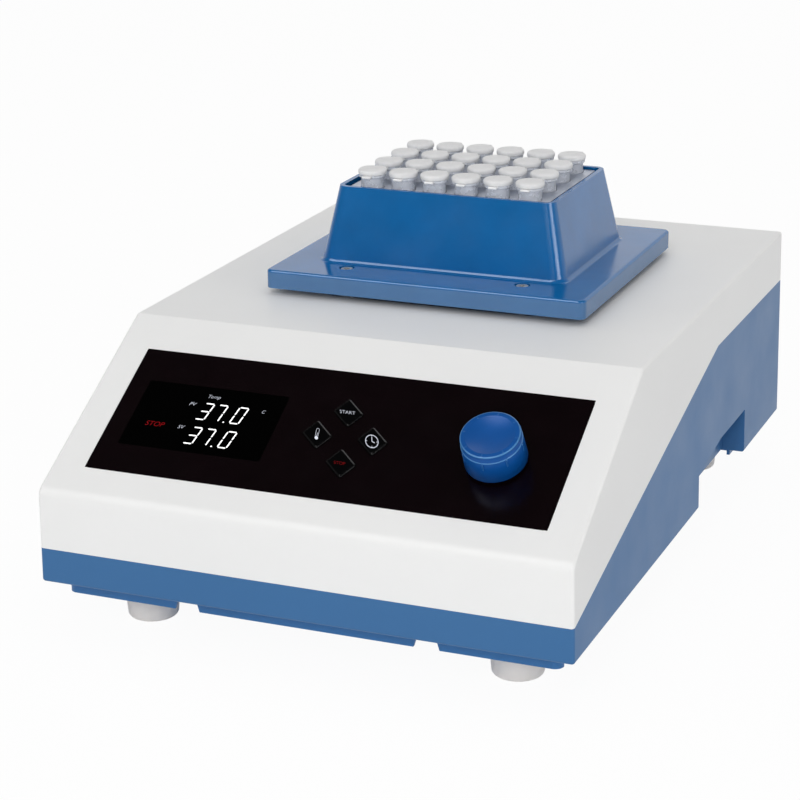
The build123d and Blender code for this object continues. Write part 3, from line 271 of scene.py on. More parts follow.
def rubber(name, colour):
    """Matt moulded rubber with dusty mottling."""
    material, tree, bsdf = shader(name)
    bsdf.inputs["Specular IOR Level"].default_value = 0.3
    bsdf.inputs["Sheen Weight"].default_value = 0.15
    vary_colour(tree, bsdf, noise(tree, 120, 5), tinted(colour, 0.93), tinted(colour, 1.04))
    tree.links.new(spread(tree, noise(tree, 300, 3), 0.6, 0.8), bsdf.inputs["Roughness"])
    bump(tree, bsdf, noise(tree, 3500, 3), 0.03 * MM, 0.5)
    return material


def gloss_panel(name, colour, roughness, specular, round_edges=0.0):
    """Printed glossy sheet with a trace of unevenness, and edges that may catch light."""
    material, tree, bsdf = shader(name)
    bsdf.inputs["Specular IOR Level"].default_value = specular
    vary_colour(tree, bsdf, noise(tree, 60, 3), tinted(colour, 0.85), tinted(colour, 1.15))
    tree.links.new(spread(tree, noise(tree, 90, 3), roughness - 0.02, roughness + 0.04),
                   bsdf.inputs["Roughness"])
    relief = bump(tree, bsdf, noise(tree, 180, 2), 0.004 * MM, 0.2)
    if round_edges:
        worn = node(tree, "ShaderNodeBevel", Radius=round_edges)
        tree.links.new(worn.outputs["Normal"], relief.inputs["Normal"])
    return material


def glowing(name, colour, strength):
    """Lit marks, and printed marks given a painted glow, that show at their own colour."""
    material, tree, bsdf = shader(name)
    bsdf.inputs["Specular IOR Level"].default_value = 0.1
    bsdf.inputs["Base Color"].default_value = (*tinted(colour, 0.6), 1)
    bsdf.inputs["Emission Color"].default_value = (*colour, 1)
    tree.links.new(spread(tree, noise(tree, 700, 2), strength * 0.92, strength * 1.05),
                   bsdf.inputs["Emission Strength"])
    return material


def clear_plastic(name, colour, roughness, transmission):
    """Frosted polypropylene."""
    material, tree, bsdf = shader(name)
    bsdf.inputs["Transmission Weight"].default_value = transmission
    bsdf.inputs["IOR"].default_value = 1.49
    vary_colour(tree, bsdf, noise(tree, 500, 3), tinted(colour, 0.97), tinted(colour, 1.02))
    tree.links.new(spread(tree, noise(tree, 260, 3), roughness - 0.05, roughness + 0.08),
                   bsdf.inputs["Roughness"])
    bump(tree, bsdf, noise(tree, 2400, 2), 0.02 * MM, 0.06)
    return material


WHITE = moulded_plastic("white shell", (0.87, 0.87, 0.864), 0.42, specular=0.20, change=0.010)
BLUE = moulded_plastic("blue shell", (0.054, 0.160, 0.350), 0.32, specular=0.11, change=0.015)
PAN_BLUE = moulded_plastic("blue pan", (0.016, 0.137, 0.366), 0.42, grain=1800)
# The plate's edge takes a lighter blue: a painted reflection, not the cover's own colour.
PLATE_EDGE_REFLECTION = ((0.060, 0.165, 0.350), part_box("block_cover")[0].z + COVER_EDGE_HEIGHT)
COVER_BLUE = glossy_moulding("block cover blue", (0.004, 0.124, 0.355), 0.16, 0.52, PLATE_EDGE_REFLECTION)
KNOB_BLUE = glossy_moulding("knob blue", (0.001, 0.074, 0.305), 0.34, 0.26)
# A lighter blue on the knob's top edge, step and ribs: a painted highlight.
KNOB_EDGE_HIGHLIGHT = glossy_moulding("knob painted edge highlight", (0.055, 0.205, 0.460), 0.30, 0.4)
RUBBER = rubber("grey rubber", (0.90, 0.86, 0.82))
PANEL = gloss_panel("black panel", (0.0026, 0.0007, 0.0013), 0.18, 0.20)
WINDOW = gloss_panel("display window", (0.0001, 0.0001, 0.0001), 0.10, 0.08)
KEY = gloss_panel("key black", (0.0001, 0.0001, 0.0004), 0.12, 0.30, round_edges=0.5 * MM)
LIT_WHITE = glowing("lit white", (1.0, 1.0, 1.0), 1.0)
# Printed white marks given a painted glow, as print gives no light of its own.
GLOWING_PRINT_WHITE = glowing("print white painted glow", (0.66, 0.69, 0.78), 0.66)
LIT_RED = glowing("lit red", (0.22, 0.001, 0.003), 0.7)
# Printed red marks, also given a painted glow.
GLOWING_PRINT_RED = glowing("print red painted glow", (0.20, 0.001, 0.002), 0.6)
ALUMINIUM = machined_metal("aluminium", (0.51, 0.54, 0.61), 0.42)
STEEL = machined_metal("steel", (0.56, 0.56, 0.57), 0.30)
ZINC = machined_metal("zinc plate", (0.84, 0.84, 0.84), 0.36, grain=1600, stretch=(1, 1, 1))
BRIGHT_ZINC = machined_metal("bright zinc", (0.50, 0.49, 0.47), 0.36, metallic=0.6)
BRASS = machined_metal("brass", (0.70, 0.50, 0.20), 0.32)
BRONZE = machined_metal("bronze", (0.48, 0.30, 0.13), 0.5)
BLACK = moulded_plastic("black plastic", (0.018, 0.018, 0.019), 0.45, grain=2000)
BOARD = gloss_panel("board green", (0.012, 0.12, 0.045), 0.35, 0.4)
MOTOR = moulded_plastic("motor paint", (0.06, 0.06, 0.065), 0.4)
INSULATION = rubber("insulation board", (0.62, 0.58, 0.50))
TRANSFORMER = machined_metal("laminations", (0.30, 0.22, 0.12), 0.5, stretch=(1, 1, 20))
LID = clear_plastic("frosted lid", (0.82, 0.82, 0.825), 0.50, 0.06)
# The hinge strap is whiter than the lid: a painted highlight for the glint at each hinge.
STRAP = clear_plastic("lid strap painted glint", (0.95, 0.95, 0.95), 0.25, 0.05)
TUBE = clear_plastic("clear tube", (0.76, 0.79, 0.86), 0.25, 0.25)

FINISHES = {
    "white_shell": WHITE, "blue_shell": BLUE, "blue_pan": PAN_BLUE, "grey_rubber": RUBBER,
    "black_panel": PANEL, "window": WINDOW, "key_black": KEY, "knob_blue": KNOB_BLUE,
    "cover_blue": COVER_BLUE, "board_green": BOARD, "black_plastic": BLACK, "steel": STEEL,
    "zinc": ZINC, "bronze": BRONZE, "brass": BRASS, "aluminium": ALUMINIUM,
    "motor_grey": MOTOR, "insulation": INSULATION, "tube_plastic": TUBE,
    "transformer": TRANSFORMER,
}


def finish_nodes():
    """Every CAD node gets the finish of its slot, and the block screws bright zinc."""
    slots = {part["node"]: part["material_slot"] for part in frame["record"]["subparts"]}
    for name, piece in nodes.items():
        piece.data.materials.clear()
        finish = BRIGHT_ZINC if name == "block_screws" else FINISHES[slots[name]]
        piece.data.materials.append(finish)


# ---- Mesh helpers ----
def add_piece(name, mesh_data, materials, body):
    """Links a mesh as a piece that moves with a CAD body."""
    piece = bpy.data.objects.new(name, mesh_data)
    bpy.context.scene.collection.objects.link(piece)
    for material in materials:
        mesh_data.materials.append(material)
    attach(piece, body)
    return piece


def mesh_from(shape, name):
    """Turns a bmesh into a mesh with outward normals."""
    bmesh.ops.recalc_face_normals(shape, faces=shape.faces)
    made = bpy.data.meshes.new(name)
    shape.to_mesh(made)
    shape.free()
    return made


def lathe(shape, profile, centre, steps=LATHE_STEPS, material=0):
    """Adds a surface of revolution about a vertical axis from (radius, height) points."""
    rings = []
    for radius, height in profile:
        if radius < 1e-7:
            rings.append([shape.verts.new(centre + Vector((0, 0, height)))])
            continue
        ring = []
        for step in range(steps):
            angle = 2 * math.pi * step / steps
            spot = Vector((radius * math.cos(angle), radius * math.sin(angle), height))
            ring.append(shape.verts.new(centre + spot))
        rings.append(ring)
    for below, above in zip(rings, rings[1:]):
        for step in range(steps):
            following = (step + 1) % steps
            if len(below) == 1:
                corners = [below[0], above[following], above[step]]
            elif len(above) == 1:
                corners = [below[step], below[following], above[0]]
            else:
                corners = [below[step], below[following], above[following], above[step]]
            face = shape.faces.new(corners)
            face.material_index = material
            face.smooth = True


def block(shape, low, high, material=0, bevel=0.0):
    """Adds a box between two corners, with its edges rounded off."""
    made = bmesh.ops.create_cube(shape, size=1.0)
    corners = made["verts"]
    middle, size = (low + high) / 2, high - low
    for corner in corners:
        corner.co = Vector(a * b for a, b in zip(corner.co, size)) + middle
    faces = {face for corner in corners for face in corner.link_faces}
    edges = {edge for corner in corners for edge in corner.link_edges}
    if bevel:
        rounded = bmesh.ops.bevel(
            shape, geom=list(edges), offset=bevel, segments=2, affect="EDGES", profile=0.5)
        faces |= set(rounded["faces"])
    for face in faces:
        if face.is_valid:
            face.material_index = material


def rounded_profile(points, radius, steps=4):
    """Rounds the corners of an open (radius, height) profile."""
    out = [points[0]]
    for before, corner, after in zip(points, points[1:], points[2:]):
        a, b, c = Vector(before), Vector(corner), Vector(after)
        cut = min(radius, (b - a).length * 0.45, (c - b).length * 0.45)
        start, end = b + (a - b).normalized() * cut, b + (c - b).normalized() * cut
        for step in range(steps + 1):
            t = step / steps
            out.append(tuple(start * (1 - t) ** 2 + b * 2 * t * (1 - t) + end * t ** 2))
    out.append(points[-1])
    return out


# ---- The sloping control face as a frame of its own ----
def slope_frame():
    """Matrix from (u, v, h) on the panel face to the scene; v is 0 at the crease."""
    normal = Vector(joints["knob_turn"]["axis"]).normalized()
    across = Vector((1, 0, 0))
    upward = normal.cross(across)
    low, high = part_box("control_panel")
    face_middle = (low + high) / 2 + normal * PANEL_THICK / 2
    origin = face_middle - upward * PANEL_MID_V
    matrix = Matrix((across, upward, normal)).transposed().to_4x4()
    return Matrix.Translation(origin) @ matrix


SLOPE = slope_frame()


def on_slope(u, v, h=INK):
    """Places a flat mark at u, v on the panel, lifted by h."""
    return SLOPE @ Matrix.Translation((u, v, h))


def slope_of(point):
    """The (u, v, h) of a point in the scene."""
    return SLOPE.inverted() @ point


def middle_of(name):
    """Middle of a CAD node's box."""
    low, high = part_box(name)
    return (low + high) / 2


def flat_mark(name, outlines, place, material, body):
    """Thin raised marks from flat outlines, laid out at a place."""
    shape = bmesh.new()
    for outline in outlines:
        face = shape.faces.new([shape.verts.new((x, y, 0)) for x, y in outline])
        raised = bmesh.ops.extrude_face_region(shape, geom=[face])
        for item in raised["geom"]:
            if isinstance(item, bmesh.types.BMVert):
                item.co.z += INK
    made = mesh_from(shape, name)
    made.transform(place)
    return add_piece(name, made, [material], body)


def lettering(name, words, height, place, material, body, lean=0.0, thin=0.045 * MM):
    """Small printed lettering, centred on its place, with its strokes thinned."""
    curve = bpy.data.curves.new(name, "FONT")
    curve.body = words
    curve.size = height * 1.42
    curve.align_x = "CENTER"
    curve.align_y = "CENTER"
    curve.shear = lean
    curve.extrude = INK / 2
    curve.offset = -thin
    writer = bpy.data.objects.new(name + " text", curve)
    bpy.context.scene.collection.objects.link(writer)
    bpy.context.view_layer.update()
    made = bpy.data.meshes.new_from_object(writer)
    bpy.data.objects.remove(writer)
    made.transform(place)
    return add_piece(name, made, [material], body)


# ---- Display ----
SEGMENTS = {"0": "abcdef", "3": "abcdg", "7": "abc"}


def segment_outlines(figure, u, v):
    """The lit bars of one seven-bar figure, leaning to the right."""
    half_w, half_h, half_t = DIGIT_WIDTH / 2, DIGIT_HEIGHT / 2, DIGIT_STROKE / 2
    gap = DIGIT_STROKE * 0.28
    levels = {"a": half_h - half_t, "g": 0.0, "d": -half_h + half_t}
    uprights = {"f": (-1, 1), "b": (1, 1), "e": (-1, -1), "c": (1, -1)}
    outlines = []
    for bar in SEGMENTS[figure]:
        if bar in levels:
            y, reach = levels[bar], half_w - half_t - gap
            points = [(-reach, y), (-reach + half_t, y - half_t), (reach - half_t, y - half_t),
                      (reach, y), (reach - half_t, y + half_t), (-reach + half_t, y + half_t)]
        else:
            side, level = uprights[bar]
            x = side * (half_w - half_t)
            low, high = sorted((level * gap, level * (half_h - half_t - gap)))
            points = [(x, low), (x + half_t, low + half_t), (x + half_t, high - half_t),
                      (x, high), (x - half_t, high - half_t), (x - half_t, low + half_t)]
        outlines.append([(u + x + y * DIGIT_LEAN, v + y) for x, y in points])
    return outlines


def circle(u, v, radius, steps=28):
    """A round outline."""
    return [(u + radius * math.cos(2 * math.pi * step / steps),
             v + radius * math.sin(2 * math.pi * step / steps)) for step in range(steps)]


def reading(v):
    """The figures 37.0 of one row."""
    outlines = []
    u = ROW_RIGHT_U
    outlines += segment_outlines("0", u, v)
    point_u = u - DIGIT_PITCH / 2 - POINT_SPACE / 2
    point_v = v - DIGIT_HEIGHT / 2 + DIGIT_STROKE / 2
    point_u += (point_v - v) * DIGIT_LEAN
    outlines.append(circle(point_u, point_v, DIGIT_STROKE * 0.62, 12))
    u -= DIGIT_PITCH + POINT_SPACE
    outlines += segment_outlines("7", u, v)
    outlines += segment_outlines("3", u - DIGIT_PITCH, v)
    return outlines


def make_display():
    """The two readings and the small words in the window."""
    window_h = slope_of(middle_of("display_window")).z + WINDOW_HALF_THICK + INK
    for name, v in (("reading_now", FIRST_ROW_V), ("reading_set", SECOND_ROW_V)):
        flat_mark(name, reading(v), on_slope(0, 0, window_h), LIT_WHITE, "housing")
    labels = (
        ("label_temp", "Temp", -62.0, 62.9, 1.9, GLOWING_PRINT_WHITE, 0.2, 0.058),
        ("label_now", "PV", -70.4, 57.6, 1.9, GLOWING_PRINT_WHITE, 0.25, 0.045),
        ("label_set", "SV", -70.4, 44.2, 1.9, GLOWING_PRINT_WHITE, 0.25, 0.045),
        ("label_unit", "C", -36.6, 58.0, 1.7, GLOWING_PRINT_WHITE, 0.2, 0.045),
        ("label_stop", "STOP", -83.0, 44.0, 2.6, LIT_RED, 0.2, 0.045),
    )
    for name, words, u, v, height, material, lean, thin in labels:
        place = on_slope(u * MM, v * MM, window_h)
        lettering(name, words, height * MM, place, material, "housing", lean, thin * MM)


# ---- Panel corners ----
def make_panel_corners():
    """The panel's printed border, drawn out to square corners."""
    half_width = slope_of(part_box("control_panel")[1]).x
    outlines = []
    for side in (-1, 1):
        for edge_v, end in ((PANEL_LOW_V, -1), (PANEL_HIGH_V, 1)):
            centre_u = side * (half_width - PANEL_CORNER)
            centre_v = edge_v - end * PANEL_CORNER
            outline = [(side * half_width, edge_v)]
            for step in range(7):
                angle = math.pi / 2 * step / 6
                outline.append((centre_u + side * PANEL_CORNER * math.sin(angle),
                                centre_v + end * PANEL_CORNER * math.cos(angle)))
            outlines.append(outline)
    flat_mark("panel_corners", outlines, on_slope(0, 0, INK_UNDER), PANEL, "housing")


# ---- Key legends ----
def key_place(name, down):
    """Where a key's legend goes, on top of the key."""
    points = [SLOPE.inverted() @ vertex.co for vertex in nodes[name].data.vertices]
    top = max(point.z for point in points)
    face = [point for point in points if point.z > top - 0.01 * MM]
    u = sum(point.x for point in face) / len(face)
    v = sum(point.y for point in face) / len(face) + down * MM
    return on_slope(u, v, top + INK / 2)


def ring_outlines(radius, width, steps=32):
    """A ring as a row of four-sided outlines."""
    outlines = []
    for step in range(steps):
        a, b = 2 * math.pi * step / steps, 2 * math.pi * (step + 1) / steps
        inner = radius - width
        outlines.append([(radius * math.cos(a), radius * math.sin(a)),
                         (radius * math.cos(b), radius * math.sin(b)),
                         (inner * math.cos(b), inner * math.sin(b)),
                         (inner * math.cos(a), inner * math.sin(a))])
    return outlines


def bar(x0, y0, x1, y1, width):
    """A straight stroke as an outline."""
    along = Vector((x1 - x0, y1 - y0)).normalized() * width / 2
    side = Vector((-along.y, along.x))
    start, end = Vector((x0, y0)), Vector((x1, y1))
    return [tuple(start + side), tuple(start - side), tuple(end - side), tuple(end + side)]


def upright(outlines):
    """Outlines drawn out so that they read upright from where the panel is seen."""
    return [[(x - KEY_LEAN * y * KEY_STRETCH, y * KEY_STRETCH) for x, y in outline]
            for outline in outlines]


def make_key_legends():
    """START, STOP, a clock and a thermometer, each riding on its own key."""
    lettering("legend_start", "START", 1.75 * MM, key_place("key_start", -0.35), GLOWING_PRINT_WHITE,
              "start_key", -KEY_LEAN)
    lettering("legend_stop", "STOP", 1.6 * MM, key_place("key_stop", -0.5), GLOWING_PRINT_RED,
              "stop_key", -KEY_LEAN)
    clock = ring_outlines(3.0 * MM, 0.27 * MM)
    clock.append(bar(0, 0, 0, 1.9 * MM, 0.28 * MM))
    clock.append(bar(0, 0, 1.3 * MM, -0.5 * MM, 0.28 * MM))
    for turn in range(4):
        along = Matrix.Rotation(turn * math.pi / 2, 2) @ Vector((1, 0))
        start, end = along * 2.1 * MM, along * 2.7 * MM
        clock.append(bar(start.x, start.y, end.x, end.y, 0.24 * MM))
    flat_mark("legend_timer", upright(clock), key_place("key_timer", -0.6), GLOWING_PRINT_WHITE,
              "timer_key")
    thermometer = [circle(-0.1 * MM, -1.75 * MM, 0.78 * MM)]
    thermometer.append(bar(0, -1.2 * MM, 0.45 * MM, 0.6 * MM, 0.18 * MM))
    outline = [(-0.62, -0.95), (-0.02, 2.1), (0.25, 2.6), (0.75, 2.75), (1.2, 2.45),
               (1.25, 1.9), (0.62, -0.95)]
    for (x0, y0), (x1, y1) in zip(outline, outline[1:]):
        thermometer.append(bar(x0 * MM, y0 * MM, x1 * MM, y1 * MM, 0.12 * MM))
    flat_mark("legend_temperature", upright(thermometer), key_place("key_temperature", -0.3),
              GLOWING_PRINT_WHITE, "temperature_key")


# ---- Tubes with closed lids ----
def tube_shape(shape, centre, low_z, high_z):
    """One tube with its lid, collar, hinge strap and thumb tab."""
    lid_low = high_z - LID_THICK
    collar_low = lid_low - COLLAR_THICK
    neck = TUBE_RADIUS - TUBE_WALL
    outside = rounded_profile([
        (TUBE_TIP_RADIUS * 0.4, low_z), (TUBE_TIP_RADIUS, low_z + 0.3 * MM),
        (TUBE_RADIUS, low_z + TUBE_CONE), (TUBE_RADIUS, collar_low),
        (COLLAR_RADIUS, collar_low), (COLLAR_RADIUS, lid_low - 0.05 * MM),
    ], 0.35 * MM)
    inside = rounded_profile([
        (neck, lid_low - 0.05 * MM), (neck, low_z + TUBE_CONE),
        (TUBE_TIP_RADIUS - TUBE_WALL * 0.7, low_z + TUBE_WALL * 1.4),
        (0, low_z + TUBE_WALL),
    ], 0.5 * MM)
    lathe(shape, [(0, low_z)] + outside + inside, centre, material=1)
    lid = rounded_profile([
        (0, lid_low), (LID_RADIUS - 0.1 * MM, lid_low), (LID_RADIUS, high_z - 1.0 * MM),
        (LID_RADIUS - 0.7 * MM, high_z - 0.25 * MM),
        (LID_RADIUS - 2.4 * MM, high_z - 0.05 * MM), (0, high_z),
    ], 0.6 * MM)
    lathe(shape, lid, centre, material=0)
    plug = rounded_profile([
        (0, lid_low - PLUG_DEPTH), (neck - 0.3 * MM, lid_low - PLUG_DEPTH),
        (neck - 0.1 * MM, lid_low - 0.02 * MM),
    ], 0.3 * MM)
    lathe(shape, plug, centre, material=0)
    # The strap takes the whiter material 2, a painted highlight for its glint.
    strap_low = centre + Vector((-STRAP_HALF_WIDTH, -LID_RADIUS - HINGE_REACH,
                                 lid_low - 1.0 * MM))
    strap_high = centre + Vector((STRAP_HALF_WIDTH, -LID_RADIUS + 1.2 * MM, lid_low))
    block(shape, strap_low, strap_high, material=2, bevel=0.25 * MM)
    tab_low = centre + Vector((-TAB_HALF_WIDTH, LID_RADIUS - 2.6 * MM, lid_low + 0.6 * MM))
    tab_high = centre + Vector((TAB_HALF_WIDTH, LID_RADIUS + TAB_REACH - 0.5 * MM,
                                high_z - 0.75 * MM))
    block(shape, tab_low, tab_high, material=0, bevel=0.6 * MM)


def make_tubes():
    """Four rows of closed tubes, standing for the rows in the CAD."""
    for name in sorted(part for part in nodes if part.startswith("tubes_row_")):
        low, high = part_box(name)
        row_y = (low.y + HINGE_REACH + high.y - TAB_REACH) / 2
        shape = bmesh.new()
        for column in range(COLUMNS):
            x = (column - (COLUMNS - 1) / 2) * PITCH_X
            tube_shape(shape, Vector((x, row_y, 0)), low.z, high.z)
        piece = add_piece(name.replace("tubes_row", "clear_tubes"), mesh_from(shape, name),
                          [LID, TUBE, STRAP], "tubes")
        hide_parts(name)


# ---- Knob, with a painted highlight on its edges ----
def knob_ribs(shape):
    """Short ribs at the top of the skirt, and marks over them on the top, in the lighter blue of the painted
    highlight.
    """
    for index in range(KNOB_RIBS):
        turn = Matrix.Rotation(2 * math.pi * index / KNOB_RIBS, 4, "Z")
        before = set(shape.verts)
        block(shape, Vector((KNOB_STEP_RADIUS - 0.4 * MM, -0.3 * MM, KNOB_STEP - 3.8 * MM)),
              Vector((KNOB_SKIRT_RADIUS + 0.1 * MM, 0.3 * MM, KNOB_STEP - 0.02 * MM)), 1,
              0.12 * MM)
        block(shape, Vector((DISH_RADIUS + 0.6 * MM, -0.25 * MM, KNOB_HEIGHT - 0.2 * MM)),
              Vector((KNOB_TOP_RADIUS - 0.7 * MM, 0.25 * MM, KNOB_HEIGHT + 0.12 * MM)), 1,
              0.06 * MM)
        fresh = [corner for corner in shape.verts if corner not in before]
        bmesh.ops.transform(shape, matrix=turn, verts=fresh)


def make_knob():
    """The knob with a painted highlight on its edges, standing for the one in the CAD."""
    shape = bmesh.new()
    origin = Vector((0, 0, 0))
    dish = KNOB_HEIGHT - DISH_DEPTH
    top = [(0, dish), (DISH_RADIUS - 0.3 * MM, dish)]
    lip = [(DISH_RADIUS - 0.3 * MM, dish), (DISH_RADIUS, KNOB_HEIGHT - 0.05 * MM),
           (DISH_RADIUS + 0.2 * MM, KNOB_HEIGHT)]
    land = [(DISH_RADIUS + 0.2 * MM, KNOB_HEIGHT), (KNOB_TOP_RADIUS - 0.5 * MM, KNOB_HEIGHT)]
    edge = [(KNOB_TOP_RADIUS - 0.5 * MM, KNOB_HEIGHT),
            (KNOB_TOP_RADIUS - 0.2 * MM, KNOB_HEIGHT - 0.07 * MM),
            (KNOB_TOP_RADIUS - 0.04 * MM, KNOB_HEIGHT - 0.26 * MM),
            (KNOB_TOP_RADIUS, KNOB_HEIGHT - 0.5 * MM)]
    band = [(KNOB_TOP_RADIUS, KNOB_HEIGHT - 0.5 * MM), (KNOB_TOP_RADIUS, KNOB_STEP + 0.1 * MM)]
    step = [(KNOB_TOP_RADIUS, KNOB_STEP + 0.1 * MM), (KNOB_STEP_RADIUS - 0.1 * MM, KNOB_STEP),
            (KNOB_STEP_RADIUS, KNOB_STEP - 0.2 * MM)]
    skirt = [(KNOB_STEP_RADIUS, KNOB_STEP - 0.2 * MM), (KNOB_SKIRT_RADIUS, KNOB_LOW + 0.3 * MM),
             (KNOB_SKIRT_RADIUS - 0.3 * MM, KNOB_LOW), (KNOB_INNER_RADIUS, KNOB_LOW),
             (KNOB_INNER_RADIUS, KNOB_STEP - 2 * MM), (0, KNOB_STEP - 2 * MM)]
    # Material 1 on the top edge and the step is the painted highlight.
    for profile, material in ((top, 0), (lip, 0), (land, 0), (edge, 1), (band, 0), (step, 1),
                              (skirt, 0)):
        lathe(shape, profile, origin, steps=96, material=material)
    bmesh.ops.remove_doubles(shape, verts=shape.verts, dist=0.001 * MM)
    knob_ribs(shape)
    made = mesh_from(shape, "turning knob")
    axis_point = SLOPE.inverted() @ Vector(joints["knob_turn"]["pos_m"])
    made.transform(on_slope(axis_point.x, axis_point.y, 0))
    piece = add_piece("turning_knob", made, [KNOB_BLUE, KNOB_EDGE_HIGHLIGHT], "knob")
    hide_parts("knob")


# ---- Floor, light and camera ----
def summed(tree, first, *rest, clamp=False):
    """Adds several outputs."""
    total = first
    for source in rest:
        adder = tree.nodes.new("ShaderNodeMath")
        adder.operation = "ADD"
        adder.use_clamp = clamp
        tree.links.new(total, adder.inputs[0])
        tree.links.new(source, adder.inputs[1])
        total = adder.outputs[0]
    return total


def seen_rays(tree):
    """1 for rays that see the backdrop: straight, in a gloss or through clear plastic."""
    rays = tree.nodes.new("ShaderNodeLightPath")
    return summed(tree, rays.outputs["Is Camera Ray"], rays.outputs["Is Glossy Ray"],
                  rays.outputs["Is Transmission Ray"], clamp=True)


def make_floor():
    """A white floor that keeps the object's shadow."""
    shape = bmesh.new()
    bmesh.ops.create_grid(shape, x_segments=2, y_segments=2, size=FLOOR_HALF)
    made = mesh_from(shape, "floor")
    material = bpy.data.materials.new("white floor")
    material.use_nodes = True
    tree = material.node_tree
    bsdf = tree.nodes["Principled BSDF"]
    bsdf.inputs["Base Color"].default_value = FLOOR_WHITE
    bsdf.inputs["Roughness"].default_value = 0.9
    bsdf.inputs["Specular IOR Level"].default_value = 0.0
    white = node(tree, "ShaderNodeEmission", Strength=1.0)
    share = tree.nodes.new("ShaderNodeMath")
    share.operation = "MULTIPLY"
    share.inputs[1].default_value = FLOOR_GLOW
    mix = tree.nodes.new("ShaderNodeMixShader")
    tree.links.new(seen_rays(tree), share.inputs[0])
    tree.links.new(share.outputs[0], mix.inputs["Fac"])
    tree.links.new(bsdf.outputs[0], mix.inputs[1])
    tree.links.new(white.outputs[0], mix.inputs[2])
    tree.links.new(mix.outputs[0], tree.nodes["Material Output"].inputs["Surface"])
    floor = bpy.data.objects.new("floor", made)
    made.materials.append(material)
    bpy.context.scene.collection.objects.link(floor)


def glossy_spot(tree, place, towards, inner, outer, strength):
    """A soft round light in one direction, with its inner and outer angle."""
    along = tree.nodes.new("ShaderNodeVectorMath")
    along.operation = "DOT_PRODUCT"
    along.inputs[1].default_value = Vector(towards).normalized()
    tree.links.new(place.outputs["Generated"], along.inputs[0])
    shade = node(tree, "ShaderNodeMapRange")
    shade.interpolation_type = "SMOOTHSTEP"
    shade.inputs["From Min"].default_value = math.cos(math.radians(outer))
    shade.inputs["From Max"].default_value = math.cos(math.radians(inner))
    shade.inputs["To Max"].default_value = strength
    tree.links.new(along.outputs["Value"], shade.inputs["Value"])
    return shade.outputs["Result"]


def make_world():
    """White behind and below the object; for gloss, dark overhead and behind the camera."""
    world = bpy.data.worlds.new("studio")
    world.use_nodes = True
    tree = world.node_tree
    ambient = tree.nodes["Background"]
    ambient.inputs["Color"].default_value = WHITE_LIGHT
    ambient.inputs["Strength"].default_value = AMBIENT
    place = tree.nodes.new("ShaderNodeTexCoord")
    parts = tree.nodes.new("ShaderNodeSeparateXYZ")
    tree.links.new(place.outputs["Generated"], parts.inputs[0])
    shade = node(tree, "ShaderNodeMapRange")
    shade.interpolation_type = "SMOOTHSTEP"
    shade.inputs["From Min"].default_value = -0.55
    shade.inputs["From Max"].default_value = 0.45
    shade.inputs["To Min"].default_value = DARK_STUDIO
    shade.inputs["To Max"].default_value = GLOSS_BACKDROP
    lower = tree.nodes.new("ShaderNodeMath")
    lower.operation = "MULTIPLY_ADD"
    lower.inputs[1].default_value = -1.1
    tree.links.new(parts.outputs["Z"], lower.inputs[0])
    tree.links.new(parts.outputs["Y"], lower.inputs[2])
    tree.links.new(lower.outputs[0], shade.inputs["Value"])
    gloss = tree.nodes.new("ShaderNodeBackground")
    spots = [glossy_spot(tree, place, *spot) for spot in GLOSS_SPOTS]
    tree.links.new(summed(tree, shade.outputs["Result"], *spots), gloss.inputs["Strength"])
    backdrop = tree.nodes.new("ShaderNodeBackground")
    for shown in (gloss, backdrop):
        shown.inputs["Color"].default_value = WHITE_LIGHT
    rays = tree.nodes.new("ShaderNodeLightPath")
    glossy = tree.nodes.new("ShaderNodeMixShader")
    seen = tree.nodes.new("ShaderNodeMixShader")
    through = summed(tree, rays.outputs["Is Camera Ray"], rays.outputs["Is Transmission Ray"],
                     clamp=True)
    tree.links.new(rays.outputs["Is Glossy Ray"], glossy.inputs["Fac"])
    tree.links.new(ambient.outputs[0], glossy.inputs[1])
    tree.links.new(gloss.outputs[0], glossy.inputs[2])
    tree.links.new(through, seen.inputs["Fac"])
    tree.links.new(glossy.outputs[0], seen.inputs[1])
    tree.links.new(backdrop.outputs[0], seen.inputs[2])
    tree.links.new(seen.outputs[0], tree.nodes["World Output"].inputs["Surface"])
    bpy.context.scene.world = world


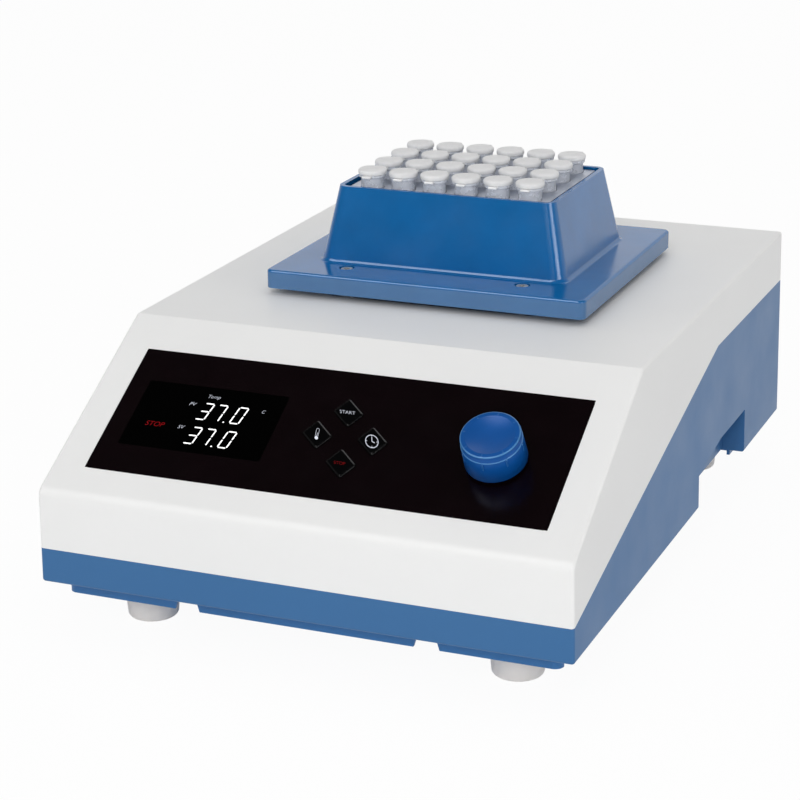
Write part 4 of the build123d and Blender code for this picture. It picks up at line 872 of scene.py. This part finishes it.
def softbox(name, place, target, size, power, in_gloss=True):
    """An area lamp that looks at a target, and may stay out of reflections."""
    lamp = bpy.data.lights.new(name, "AREA")
    lamp.shape = "RECTANGLE"
    lamp.size, lamp.size_y = size
    lamp.energy = power
    holder = bpy.data.objects.new(name, lamp)
    holder.location = place
    holder.rotation_mode = "QUATERNION"
    holder.rotation_quaternion = (target - Vector(place)).to_track_quat("-Z", "Y")
    holder.visible_glossy = in_gloss
    bpy.context.scene.collection.objects.link(holder)


def make_lights():
    """Soft light from the front and above, with a little from the right."""
    middle = Vector((0, 0, 0.08))
    softbox("front", (0.35, -1.8, 1.1), middle, (1.2, 1.2), 15)
    softbox("right", (1.7, -0.8, 0.55), middle, (0.6, 0.6), 2.5)
    softbox("overhead", (0, 0.5, 2.2), middle, (1.6, 1.6), 4.4, in_gloss=False)


def make_camera():
    """The reference view."""
    azimuth, elevation = CAMERA_AZIMUTH, CAMERA_ELEVATION
    back = Vector((math.sin(azimuth) * math.cos(elevation),
                   -math.cos(azimuth) * math.cos(elevation), math.sin(elevation)))
    right = Vector((math.cos(azimuth), math.sin(azimuth), 0))
    upward = back.cross(right)
    aim = Vector((0, cad_box[0].y, AIM_HEIGHT)) + right * AIM_RIGHT + upward * AIM_UP
    rolled_right = right * math.cos(CAMERA_ROLL) + upward * math.sin(CAMERA_ROLL)
    rolled_up = upward * math.cos(CAMERA_ROLL) - right * math.sin(CAMERA_ROLL)
    data = bpy.data.cameras.new("camera")
    data.lens = LENS
    data.sensor_width = SENSOR
    data.clip_start, data.clip_end = 0.05, 20
    camera = bpy.data.objects.new("camera", data)
    turn = Matrix((rolled_right, rolled_up, back)).transposed().to_4x4()
    camera.matrix_world = Matrix.Translation(aim + back * CAMERA_DISTANCE) @ turn
    bpy.context.scene.collection.objects.link(camera)
    bpy.context.scene.camera = camera


bpy.context.scene.view_settings.view_transform = "Standard"
make_camera()
make_world()
make_lights()
make_floor()
finish_nodes()
make_panel_corners()
make_display()
make_key_legends()
make_knob()
make_tubes()
